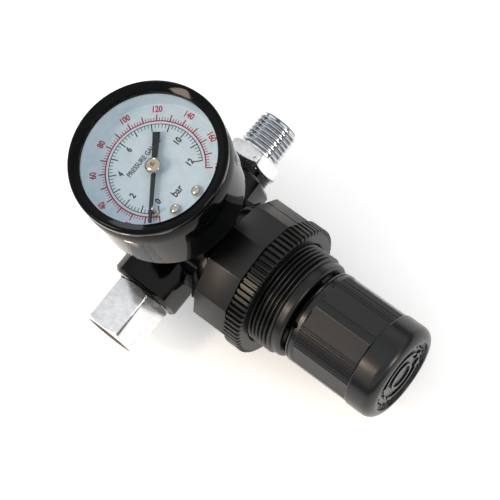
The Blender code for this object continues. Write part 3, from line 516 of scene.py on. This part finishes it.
class REGULATOR_OT_neck(bpy.types.Operator):
    """Models the threaded neck, its smooth collar and the stub that the knob turns around"""

    bl_idname = "regulator.neck"
    bl_label = "Threaded neck"

    def execute(self, context):
        pitch = context.scene.regulator_sizes.neck_pitch
        root = NECK_CREST - 1.0
        profile = [(SPRING_ROOM, BONNET_SHOULDER + 0.05), (root, BONNET_SHOULDER + 0.05)]
        start = BONNET_SHOULDER + 0.9
        turns = int((THREAD_END + 0.3 - start) / pitch)
        for number in range(turns):
            low = start + number * pitch
            profile += [(root, low - 0.3), (NECK_CREST - 0.1, low + 0.3), (NECK_CREST, low + 0.42)]
            profile += [(NECK_CREST, low + 0.58), (NECK_CREST - 0.1, low + 0.7), (root, low + 1.0)]
        profile += [(root, THREAD_END), (NOSE_RADIUS, THREAD_END + 0.15)]
        profile += [(NOSE_RADIUS, NOSE_END - 1.2)]
        profile += curve_in((NOSE_RADIUS - 1.1, NOSE_END - 1.1), 1.1, 0, 90, 8)
        profile += [(NOSE_BORE + 0.2, NOSE_END), (NOSE_BORE, NOSE_END - 0.2), (NOSE_BORE, NOSE_FLOOR)]
        profile += [(STUB_RADIUS, NOSE_FLOOR), (STUB_RADIUS, STUB_END - 0.5)]
        profile += [(STUB_RADIUS - 0.5, STUB_END), (SCREW_HOLE, STUB_END)]
        profile += [(SCREW_HOLE, STUB_BACK), (SPRING_ROOM, STUB_BACK)]
        neck = lathe("threaded_neck", profile, 128, loop=True)
        settle(neck, KNOB_AXIS, "regulator", "glass_filled_nylon")
        return {"FINISHED"}


class REGULATOR_OT_ring(bpy.types.Operator):
    """Models the panel ring with its grooves"""

    bl_idname = "regulator.ring"
    bl_label = "Panel ring"

    def execute(self, context):
        sizes = context.scene.regulator_sizes
        columns = 5
        sides = sizes.ring_grooves * columns
        profile = [(RING_BORE + 0.35, RING_BACK), (RING_BORE, RING_BACK + 0.35)]
        profile += [(RING_BORE, RING_FRONT - 0.35), (RING_BORE + 0.35, RING_FRONT)]
        profile += [(RING_RADIUS - 1.25, RING_FRONT), (RING_RADIUS - 0.75, RING_FRONT - 0.02)]
        profile += [(RING_RADIUS - 0.25, RING_FRONT - 0.22), (RING_RADIUS, RING_FRONT - 0.6)]
        profile += [(RING_RADIUS, RING_BACK + 0.35), (RING_RADIUS - 0.35, RING_BACK)]
        ring = lathe("panel_ring", profile, sides, loop=True)
        step = math.tau / sides

        def in_groove(place):
            column = round(math.atan2(place.y, place.x) / step) % columns
            return column < 2 and place.xy.length > RING_RADIUS - 0.8

        press(ring, in_groove, 1.0 - sizes.groove_depth / RING_RADIUS)
        settle(ring, KNOB_AXIS, "panel_nut", "glass_filled_nylon", ("panel_nut",), degrees=24)
        return {"FINISHED"}


class REGULATOR_OT_knob(bpy.types.Operator):
    """Models the knob: flats and fine flutes, skirt groove, vent hole, end band and recessed face"""

    bl_idname = "regulator.knob"
    bl_label = "Knob"

    def execute(self, context):
        sides = 384
        edge = 3.2
        skirt, band = 47.8, 67.2
        inside = KNOB_RADIUS - 1.8
        profile = [(10.9, KNOB_END - 0.85), (11.15, KNOB_END - 0.75)]
        profile += [(11.3, KNOB_END - 0.2), (11.5, KNOB_END)]
        profile += curve_in((KNOB_BAND - edge, KNOB_END - edge), edge, 90, 0, 18)
        profile += [(KNOB_BAND, band + 0.25), (KNOB_BAND - 0.12, band), (KNOB_RADIUS, band - 0.12)]
        profile += [(KNOB_RADIUS, band - 0.35), (KNOB_RADIUS, skirt + 0.3), (KNOB_RADIUS, skirt)]
        profile += [(KNOB_RADIUS - 0.05, 46.65), (KNOB_RADIUS - 0.45, 46.5), (KNOB_RADIUS - 0.45, 46.3)]
        profile += [(KNOB_RADIUS - 0.15, 46.15), (KNOB_RADIUS - 0.3, 45.7), (KNOB_RADIUS - 0.75, 45.1)]
        profile += [(KNOB_RADIUS - 1.3, KNOB_START + 0.05), (inside + 0.1, KNOB_START)]
        profile += [(inside, KNOB_START + 0.2), (inside, KNOB_END - 3.0)]
        knob = lathe("knob_shell", profile, sides)
        step = math.tau / sides
        flute = context.scene.regulator_sizes.flute_depth
        half_rib, half_flat = math.radians(5), math.radians(30)
        # The flats lie below the round by this share of the radius.
        sunk = 0.006

        def off_centre(place):
            """The angle from the nearest narrow rib, of which there are four."""
            quarter = math.tau / 4
            angle = (math.atan2(place.y, place.x) - RIB_ANGLE) % quarter
            return min(angle, quarter - angle)

        def on_grip(place):
            return skirt + 0.1 < place.z < band - 0.2 and place.xy.length > KNOB_RADIUS - 1.0

        for column in range(int(half_rib / step) + 1, int(half_flat / step) + 1):
            angle = column * step
            chord = (half_flat - half_rib) / 2
            across = angle - half_rib - chord
            flat = math.cos(chord) / math.cos(across) if abs(across) < chord else 1.0
            press(
                knob,
                lambda place, angle=angle: on_grip(place) and abs(off_centre(place) - angle) < step / 2,
                flat - sunk,
            )

        def in_flute(place):
            column = round((off_centre(place) - half_flat) / step)
            return on_grip(place) and off_centre(place) > half_flat + step / 2 and column % 4 in (2, 3)

        press(knob, in_flute, 1.0 - flute / KNOB_RADIUS)
        vent = lathe("vent", [(VENT_RADIUS, 11.0), (VENT_RADIUS, 16.0)], 24)
        around = Matrix.Rotation(VENT_ANGLE, 4, "Z") @ Matrix.Rotation(math.pi / 2, 4, "Y")
        vent.matrix_world = Matrix.Translation((0.0, 0.0, VENT_HEIGHT * MM)) @ around
        combine(knob, vent)
        settle(knob, KNOB_AXIS, "knob", "knob_nylon", ("knob",), degrees=9)
        return {"FINISHED"}


class REGULATOR_OT_knob_marks(bpy.types.Operator):
    """Models the raised ring, turning arrows and plus and minus marks on the knob's end"""

    bl_idname = "regulator.knob_marks"
    bl_label = "Knob marks"

    def execute(self, context):
        floor = KNOB_END - 0.84
        height = 0.45
        ring = [(3.6, floor), (3.6, floor + height), (4.5, floor + height), (4.5, floor)]
        shapes = [lathe("marks_ring", ring, 64, loop=True)]
        for start, sweep in ((20, 120), (200, 120)):
            shapes.append(arc_bar("marks_arc", 7.6, 0.75, start, sweep, floor, height))
            shapes.append(arrow_head("marks_head", 7.6, start + sweep, 1.7, 2.6, floor, height))
        for angle in (0, 180):
            shapes.append(radial_bar("mark_bar", 7.6, angle, 0.6, 2.8, floor, height))
        shapes.append(block("mark_upright", (2.8, 0.6, height * 0.98), (7.6, 0.0, floor + height / 2)))
        for number in range(24):
            turn = number * 360 / 24
            shapes.append(radial_bar("mark_tick", 9.8, turn, 0.7, 0.3, floor, height * 0.6))
        marks = joined("knob_marks", shapes)
        settle(marks, KNOB_AXIS, "knob", "knob_nylon")
        return {"FINISHED"}


def arc_bar(name, radius, width, start, sweep, low, height):
    """A flat bar bent round local Z, made by spinning its end face."""
    bar = block(name, (width, 0.02, height), (radius, 0.0, low + height / 2), math.radians(start))
    edit(bar, "FACE")
    bpy.ops.object.mode_set(mode="OBJECT")
    ahead = Vector((-math.sin(math.radians(start)), math.cos(math.radians(start)), 0.0))
    for face in bar.data.polygons:
        face.select = face.normal.dot(ahead) > 0.9
    bpy.ops.object.mode_set(mode="EDIT")
    turn = SPIN_SIGN * math.radians(sweep)
    bpy.ops.mesh.spin(steps=max(6, round(sweep / 3)), angle=turn, center=(0, 0, 0), axis=(0, 0, 1))
    bpy.ops.object.mode_set(mode="OBJECT")
    tidy_mesh(bar)
    return bar


def radial_bar(name, radius, angle, length, width, low, height):
    centre = (radius, 0.0, low + height / 2)
    return block(name, (length, width, height), centre, math.radians(angle))


def arrow_head(name, radius, angle, width, length, low, height):
    """A three-cornered head at the end of an arc."""
    select_nothing()
    bpy.ops.mesh.primitive_cylinder_add(vertices=3, radius=width * MM, depth=height * MM)
    head = bpy.context.object
    head.name = name
    turn = Matrix.Rotation(math.radians(angle), 4, "Z")
    head.matrix_world = turn @ Matrix.Translation(Vector((radius, 0.3 * length, low + height / 2)) * MM)
    bpy.ops.object.transform_apply(location=True, rotation=True, scale=True)
    return head


# ---------------------------------------------------------------- port fittings


def hexagon(name, low, high, end_radius):
    """A hexagon with rounded long edges and its ends turned down."""
    corner = HEX_FLATS / 2 / math.cos(math.pi / 6)
    piece = lathe(name, [(corner, low), (corner, high)], 6)
    edit(piece, "EDGE")
    bpy.ops.object.mode_set(mode="OBJECT")
    for line in piece.data.edges:
        one, two = (piece.data.vertices[i].co for i in line.vertices)
        line.select = abs(one.z - two.z) > (high - low) * MM / 2
    bpy.ops.object.mode_set(mode="EDIT")
    bpy.ops.mesh.bevel(offset=0.14 * MM, segments=2, affect="EDGES")
    bpy.ops.object.mode_set(mode="OBJECT")
    outside = corner + 0.5
    slope = (outside - end_radius) * math.tan(math.radians(28))
    turned = [(end_radius, low - 0.05), (outside, low + slope)]
    turned += [(outside, high - slope), (end_radius, high + 0.05)]
    combine(piece, lathe("turned_ends", turned, 96), "INTERSECT")
    break_edges(piece, 0.15, 2, 20)
    return piece


def darken_bore(piece, radius):
    """Gives the faces of a bore along the flow axis a brownish, dimmer metal: painted shade inside the
    bore.
    """
    piece.data.materials.append(bpy.data.materials["bore_painted_shade"])
    for face in piece.data.polygons:
        across = face.center - CROSSING
        across.y = 0.0
        if across.length < radius * MM and abs(face.normal.y) < 0.95:
            face.material_index = 1


def shade_flanks(piece, start):
    """Gives one side of every thread ring beyond a station a darker grey metal: painted shade on the
    flanks that face away from the light.
    """
    piece.data.materials.append(bpy.data.materials["thread_flank_painted_shade"])
    for face in piece.data.polygons:
        if (face.center.y - CROSSING.y) / MM > start and 0.3 < face.normal.y < 0.95:
            face.material_index = 2


class REGULATOR_OT_inlet(bpy.types.Operator):
    """Models the female fitting: a long hexagon with a threaded bore"""

    bl_idname = "regulator.inlet"
    bl_label = "Inlet fitting"

    def execute(self, context):
        pitch = context.scene.regulator_sizes.port_pitch
        piece = hexagon("inlet_hexagon", INLET_END, INLET_FACE, 8.25)
        shank = lathe("inlet_shank", [(6.2, -14.6), (6.2, INLET_FACE - 1.0)], 64)
        combine(piece, shank, "UNION")
        # A wide countersink leads into the threaded bore.
        bore = [(7.95, INLET_END - 0.3), (7.65, INLET_END), (6.1, INLET_END + 0.9)]
        low = INLET_END + 1.0
        for number in range(int(11.0 / pitch)):
            start = low + number * pitch
            bore += [(5.95, start), (6.55, start + 0.55), (6.55, start + 0.7), (5.95, start + 1.25)]
        bore += [(5.9, -27.8), (3.2, -27.5), (3.2, -14.0)]
        combine(piece, lathe("inlet_bore", bore, 96))
        settle(piece, FLOW_AXIS, "regulator", "bright_zinc_plate", ("inlet_fitting",), degrees=30)
        # The bore's faces get painted shade.
        darken_bore(piece, 7.5)
        return {"FINISHED"}


class REGULATOR_OT_outlet(bpy.types.Operator):
    """Models the male fitting: a short hexagon with a tapered thread"""

    bl_idname = "regulator.outlet"
    bl_label = "Outlet fitting"

    def execute(self, context):
        pitch = context.scene.regulator_sizes.port_pitch
        piece = hexagon("outlet_hexagon", OUTLET_FACE, OUTLET_HEX_END, 8.2)
        thread = [(6.2, 14.6), (6.2, OUTLET_HEX_END - 0.5), (6.2, OUTLET_HEX_END + 0.9)]
        start = OUTLET_HEX_END + 1.2
        turns = int((OUTLET_END - 0.6 - start) / pitch)
        for number in range(turns):
            low = start + number * pitch
            crest = 6.85 - 0.032 * number * pitch
            root = crest - 0.9
            thread += [(root, low), (crest, low + 0.5), (crest, low + 0.7), (root, low + 1.2)]
        thread += [(5.9, OUTLET_END - 0.4), (5.7, OUTLET_END)]
        combine(piece, lathe("outlet_thread", thread, 96), "UNION")
        bore = [(3.5, 10.0), (3.5, OUTLET_END - 0.4), (4.1, OUTLET_END + 0.2)]
        combine(piece, lathe("outlet_bore", bore, 64))
        punch = lathe("punch", [(0.55, 8.1), (0.55, 9.0)], 4)
        place = Matrix.Translation((0.0, 3.9 * MM, 25.2 * MM))
        punch.matrix_world = place @ Matrix.Rotation(math.pi / 2, 4, "Y")
        combine(piece, punch)
        settle(piece, FLOW_AXIS, "regulator", "bright_zinc_plate", ("outlet_fitting",), degrees=30)
        # The bore's faces get painted shade.
        darken_bore(piece, 3.7)
        # One flank of each thread ring gets painted shade.
        shade_flanks(piece, OUTLET_HEX_END + 1.0)
        return {"FINISHED"}


# ---------------------------------------------------------------- gauge


class REGULATOR_OT_gauge_case(bpy.types.Operator):
    """Models the case, the rolled bezel and the domed window"""

    bl_idname = "regulator.gauge_case"
    bl_label = "Gauge case"

    def execute(self, context):
        inner, floor = CASE_RADIUS - 1.0, CASE_BOTTOM + 1.0
        case = [(5.1, floor), (5.1, CASE_BOTTOM), (CASE_RADIUS - 2.0, CASE_BOTTOM)]
        case += curve_in((CASE_RADIUS - 2.0, CASE_BOTTOM + 2.0), 2.0, -78, 0, 8)
        case += [(CASE_RADIUS, CASE_STEP - 0.1), (CASE_RADIUS - 0.1, CASE_STEP)]
        case += [(CASE_RADIUS - 0.3, CASE_STEP), (CASE_RADIUS - 0.3, CASE_TOP)]
        case += [(inner + 0.3, CASE_TOP), (inner + 0.3, 49.9), (inner, 49.9)]
        case += [(inner, floor + 1.0), (inner - 1.0, floor)]
        shell = lathe("case_shell", case, 128, loop=True)
        settle(shell, GAUGE_AXIS, "regulator", "case_enamel", ("gauge_case",))
        under = LENS_EDGE + 0.3
        bezel = [(CASE_RADIUS, under), (CASE_RADIUS, BEZEL_BOTTOM), (BEZEL_RADIUS - 0.15, BEZEL_BOTTOM)]
        bezel += [(BEZEL_RADIUS, BEZEL_BOTTOM + 0.15), (BEZEL_RADIUS, 51.5)]
        bezel += [(BEZEL_RADIUS - 0.12, 51.7), (BEZEL_RADIUS - 0.12, 51.9), (BEZEL_RADIUS, 52.1)]
        bezel += curve_in((BEZEL_RADIUS - 0.9, BEZEL_TOP - 0.9), 0.9, 0, 112, 12)
        bezel += curve_in((DIAL_OPENING + 0.35, BEZEL_TOP - 1.25), 0.35, 112, 180, 6)
        bezel += [(DIAL_OPENING, under + 0.1), (DIAL_OPENING + 0.1, under)]
        bezel_ring = lathe("bezel_ring", bezel, 160, loop=True)
        settle(bezel_ring, GAUGE_AXIS, "regulator", "case_enamel", ("gauge_bezel",))
        dial = [(19.8, DIAL_FACE - 0.3), (19.8, 50.1), (19.15, 50.1), (19.15, 50.8), (18.95, 50.8)]
        dial += [(18.95, DIAL_FACE + 0.8), (18.75, DIAL_FACE + 0.3)]
        dial += [(18.2, DIAL_FACE), (0.05, DIAL_FACE)]
        dial_plate = lathe("dial_plate", dial, 96)
        settle(dial_plate, GAUGE_AXIS, "regulator", "dial_face_paint", ("gauge_dial",))
        lens = [(LENS_RADIUS, LENS_BOTTOM), (LENS_RADIUS, LENS_EDGE), (18.0, LENS_EDGE + 0.02)]
        lens += [(15.0, LENS_EDGE + 0.22), (11.0, LENS_EDGE + 0.38), (7.0, LENS_EDGE + 0.5)]
        lens += [(3.0, LENS_EDGE + 0.57), (0.6, LENS_EDGE + 0.6)]
        window = lathe("window", lens, 128)
        settle(window, GAUGE_AXIS, "regulator", "window_acrylic", ("gauge_lens",))
        return {"FINISHED"}


def dial_point(angle, radius, height=DIAL_FACE):
    """A place on the dial, at an angle clockwise from its top, which points toward -X."""
    a = math.radians(angle)
    return Vector((-radius * math.cos(a), radius * math.sin(a), height))


def ticks(name, radius, length, width, first, step, count, height=PRINT_HEIGHT):
    """Printed ticks: one is made and the rest are spun round from it."""
    start = math.radians(180 - first)
    tick = block(name, (length, width, height), (radius, 0.0, DIAL_FACE + height / 2), start)
    edit(tick, "FACE", everything=True)
    turn = -SPIN_SIGN * math.radians(step * (count - 1))
    bpy.ops.mesh.spin(steps=count - 1, angle=turn, dupli=True, center=(0, 0, 0), axis=(0, 0, 1))
    bpy.ops.object.mode_set(mode="OBJECT")
    return tick


def lettering(name, words, size, centre, reading, bold=0.03, height=PRINT_HEIGHT):
    """Printed characters, centred on a place and read along a direction in degrees from +X."""
    select_nothing()
    bpy.ops.object.text_add()
    text = bpy.context.object
    text.name = name
    text.data.body = words
    text.data.size = size * MM
    text.data.align_x = "CENTER"
    text.data.align_y = "CENTER"
    text.data.extrude = 0.1 * MM
    text.data.resolution_u = 3
    bpy.ops.object.convert(target="MESH")
    shape = bpy.context.object
    tidy_mesh(shape)
    edit(shape, everything=True)
    bpy.ops.transform.shrink_fatten(value=bold * size * MM, use_even_offset=True)
    bpy.ops.object.mode_set(mode="OBJECT")
    lift = Vector((centre.x, centre.y, centre.z + height / 2)) * MM
    flatten = height * MM / shape.dimensions.z
    narrow = Matrix.Diagonal((0.80, 1.0, flatten, 1.0))
    turn = Matrix.Rotation(math.radians(reading), 4, "Z")
    shape.matrix_world = Matrix.Translation(lift) @ turn @ narrow
    bpy.ops.object.transform_apply(location=True, rotation=True, scale=True)
    tidy_mesh(shape)
    return shape


class REGULATOR_OT_dial_print(bpy.types.Operator):
    """Models the two printed scales, their numbers and the words on the dial"""

    bl_idname = "regulator.dial_print"
    bl_label = "Dial print"

    def execute(self, context):
        last = 180 - SCALE_START - SCALE_SWEEP
        bar = [
            arc_bar("bar_line", 12.9, 0.2, last, SCALE_SWEEP, DIAL_FACE, PRINT_HEIGHT),
            ticks("bar_minor", 12.35, 1.1, 0.17, SCALE_START, BAR_STEP / 5, 61),
            ticks("bar_major", 11.85, 2.1, 0.28, SCALE_START, BAR_STEP, 13),
        ]
        for value in range(0, 13, 2):
            # The words take the 8's place.
            if value == 8:
                continue
            place = dial_point(SCALE_START + BAR_STEP * value, 9.5)
            bar.append(lettering(f"bar_{value}", str(value), 2.6, place, 90))
        place = Vector((9.1, -1.5, DIAL_FACE))
        bar.append(lettering("unit_bar", "bar", 3.1, place, 90, 0.018))
        place = Vector((-4.6, 0.5, DIAL_FACE))
        bar.append(lettering("legend", "PRESSURE GAUGE", 2.05, place, 90, 0.02))
        settle(joined("bar_scale", bar), GAUGE_AXIS, "regulator", "scale_black")
        sweep = PSI_STEP * 180
        psi = [
            arc_bar("psi_line", 13.8, 0.34, 180 - SCALE_START - sweep, sweep, DIAL_FACE, PRINT_HEIGHT),
            ticks("psi_minor", 14.3, 1.05, 0.2, SCALE_START, PSI_STEP * 2, 91),
            ticks("psi_major", 14.75, 1.95, 0.34, SCALE_START, PSI_STEP * 10, 19),
        ]
        for value in range(20, 181, 20):
            angle = SCALE_START + PSI_STEP * value
            place = dial_point(angle, 17.2)
            psi.append(lettering(f"psi_{value}", str(value), 2.55, place, 90 - angle))
        settle(joined("psi_scale", psi), GAUGE_AXIS, "regulator", "scale_red")
        return {"FINISHED"}


class REGULATOR_OT_needle(bpy.types.Operator):
    """Dresses the pointer and models its domed hub with the brass arbor's end"""

    bl_idname = "regulator.needle"
    bl_label = "Needle"

    def execute(self, context):
        dressed("needle", "pointer", "pointer", "needle_paint", 0.05)
        low = POINTER_TOP + 0.3
        hub = [(0.52, low), (0.52, low + 1.2), (0.62, low + 1.34), (0.95, low + 1.45)]
        hub += [(1.35, low + 1.4), (1.75, low + 1.22), (2.05, low + 0.98), (2.25, low + 0.7)]
        hub += [(2.38, low + 0.45), (2.4, low + 0.2), (2.3, low)]
        needle_hub = lathe("needle_hub", hub, 64, loop=True)
        settle(needle_hub, GAUGE_AXIS, "pointer", "nickel_plate", ("pointer_hub",))
        tip = [(0.45, low + 0.75), (0.45, low + 1.2), (0.34, low + 1.32), (0.12, low + 1.36)]
        settle(lathe("arbor_tip", tip, 24), GAUGE_AXIS, "pointer", "turned_brass")
        return {"FINISHED"}


def upright_at(node):
    """The matrix that stands a piece upright over a CAD node, with heights from the crossing."""
    place = (middle(node) - CROSSING) / MM
    return axis_place((1, 0, 0), (0, 1, 0), (0, 0, 1), (place.x, place.y, 0))


class REGULATOR_OT_dial_hardware(bpy.types.Operator):
    """Models the two domed dial screws and the stop pin on its collar"""

    bl_idname = "regulator.dial_hardware"
    bl_label = "Dial hardware"

    def execute(self, context):
        base = DIAL_FACE + 0.3
        for number, node in enumerate(("dial_screw_1", "dial_screw_2"), start=1):
            dome = [(0.8, base - 1.5), (0.8, base), (1.4, base), (1.5, base + 0.12)]
            for degrees in range(10, 90, 10):
                a = math.radians(degrees)
                dome.append((1.46 * math.cos(a), base + 0.15 + 0.85 * math.sin(a)))
            screw = lathe(f"dome_screw_{number}", dome, 48)
            settle(screw, upright_at(node), "regulator", "nickel_plate", (node,), degrees=40)
        pin = [(0.5, base - 1.6), (0.5, base), (0.85, base), (0.95, base + 0.1)]
        pin += [(0.95, base + 0.3), (0.85, base + 0.4), (0.5, base + 0.42)]
        pin += [(0.5, 48.2), (0.44, 48.42), (0.28, 48.56), (0.08, 48.6)]
        stop = lathe("stop_pin_piece", pin, 32)
        settle(stop, upright_at("stop_pin"), "regulator", "nickel_plate", ("stop_pin",), degrees=40)
        return {"FINISHED"}


# ---------------------------------------------------------------- stage


def soft_light(name, place, aim, size, brightness, colour="#FFFFFF"):
    """A square soft light of an even brightness, with places in millimetres from the crossing."""
    data = bpy.data.lights.new(name, "AREA")
    data.shape = "SQUARE"
    data.size = size * MM
    data.energy = brightness * math.pi * data.size**2
    data.color = linear(colour)
    lamp = bpy.data.objects.new(name, data)
    bpy.context.scene.collection.objects.link(lamp)
    lamp.location = CROSSING + Vector(place) * MM
    direction = Vector(aim) - Vector(place)
    lamp.rotation_euler = direction.to_track_quat("-Z", "Y").to_euler()
    return lamp


# The camera looks down from over the knob: its right, up and back directions, and its place in
# millimetres from the crossing.
CAMERA_AXES = ((0.7605, 0.6202, -0.1923), (-0.5469, 0.7715, 0.3252), (0.3500, -0.1422, 0.9259))
CAMERA_PLACE = (189.1, -65.8, 454.4)
CAMERA_LENS = 122.9


class REGULATOR_OT_stage(bpy.types.Operator):
    """Makes the pale floor, the soft studio lights and the camera"""

    bl_idname = "regulator.stage"
    bl_label = "Stage"

    def execute(self, context):
        select_nothing()
        bpy.ops.mesh.primitive_plane_add(size=12.0, location=(0.0, 0.0, -0.0002))
        floor = context.object
        floor.name = "studio_floor"
        paper = bpy.data.materials.new("studio_paper")
        paper.use_nodes = True
        shader = paper.node_tree.nodes["Principled BSDF"]
        shader.inputs["Base Color"].default_value = (0.98, 0.98, 0.98, 1.0)
        shader.inputs["Roughness"].default_value = 0.9
        shader.inputs["Specular IOR Level"].default_value = 0.0
        shader.inputs["Emission Color"].default_value = (1.0, 1.0, 1.0, 1.0)
        shader.inputs["Emission Strength"].default_value = 0.22
        floor.data.materials.append(paper)
        world = bpy.data.worlds.new("studio")
        context.scene.world = world
        world.use_nodes = True
        # A light tent: bright cloth walls and roof with a dimmer seam between them, and dark below.
        tree = world.node_tree
        way = add_node(tree, "ShaderNodeTexCoord").outputs["Generated"]
        height = add_node(tree, "ShaderNodeSeparateXYZ", None, {"Vector": way}).outputs["Z"]
        tent = add_node(tree, "ShaderNodeValToRGB", None, {"Fac": height})
        stops = tent.color_ramp.elements
        stops[0].position, stops[0].color = 0.0, (0.05, 0.05, 0.06, 1.0)
        stops[1].position, stops[1].color = 1.0, (0.98, 1.0, 1.04, 1.0)
        for position, level in ((0.22, 0.10), (0.36, 1.0), (0.62, 1.0), (0.80, 0.62), (0.90, 0.90)):
            stops.new(position).color = (level, level, level, 1.0)
        sky = tree.nodes["Background"]
        sky.inputs["Strength"].default_value = 1.05
        tree.links.new(tent.outputs["Color"], sky.inputs["Color"])
        soft_light("high_panel", (-150, -320, 480), (0, 0, 20), 115, 24.0, "#FFE9CF")
        soft_light("left_wall", (-210, -430, 330), (0, 0, 20), 150, 7.0, "#FFE4C4")
        soft_light("knob_side", (560, 85, 215), (0, 0, 0), 150, 11.0, "#FFF4E6")
        soft_light("back_wall", (-340, 330, 240), (0, 0, 0), 130, 5.0, "#EEF4FF")
        context.scene.view_settings.view_transform = "Standard"
        data = bpy.data.cameras.new("camera")
        data.sensor_width = 36.0
        data.lens = CAMERA_LENS
        data.clip_start, data.clip_end = 0.05, 10.0
        camera = bpy.data.objects.new("camera", data)
        context.scene.collection.objects.link(camera)
        across, up, back = CAMERA_AXES
        turn = Matrix((across, up, back)).transposed()
        camera.rotation_euler = turn.to_euler()
        camera.location = CROSSING + Vector(CAMERA_PLACE) * MM
        context.scene.camera = camera
        return {"FINISHED"}


class REGULATOR_PT_sidebar(bpy.types.Panel):
    """Lists the sizes, the colours and the pieces"""

    bl_idname = "REGULATOR_PT_sidebar"
    bl_label = "Air pressure regulator"
    bl_space_type = "VIEW_3D"
    bl_region_type = "UI"
    bl_category = "Regulator"

    def draw(self, context):
        for settings in (context.scene.regulator_sizes, context.scene.regulator_colours):
            for name in settings.bl_rna.properties.keys():
                if name not in ("rna_type", "name"):
                    self.layout.prop(settings, name)
        for operator in OPERATORS:
            self.layout.operator(operator.bl_idname)


OPERATORS = (
    REGULATOR_OT_finishes,
    REGULATOR_OT_casting,
    REGULATOR_OT_cover,
    REGULATOR_OT_neck,
    REGULATOR_OT_ring,
    REGULATOR_OT_knob,
    REGULATOR_OT_knob_marks,
    REGULATOR_OT_inlet,
    REGULATOR_OT_outlet,
    REGULATOR_OT_gauge_case,
    REGULATOR_OT_dial_print,
    REGULATOR_OT_needle,
    REGULATOR_OT_dial_hardware,
    REGULATOR_OT_stage,
)
CLASSES = (RegulatorColours, RegulatorSizes, *OPERATORS, REGULATOR_PT_sidebar)


def register():
    for each in CLASSES:
        bpy.utils.register_class(each)
    bpy.types.Scene.regulator_sizes = bpy.props.PointerProperty(type=RegulatorSizes)
    bpy.types.Scene.regulator_colours = bpy.props.PointerProperty(type=RegulatorColours)


def unregister():
    del bpy.types.Scene.regulator_colours
    del bpy.types.Scene.regulator_sizes
    for each in reversed(CLASSES):
        bpy.utils.unregister_class(each)


def main():
    """Builds every piece in order."""
    register()
    for operator in OPERATORS:
        group, name = operator.bl_idname.split(".")
        getattr(getattr(bpy.ops, group), name)()


if __name__ == "__main__":
    main()
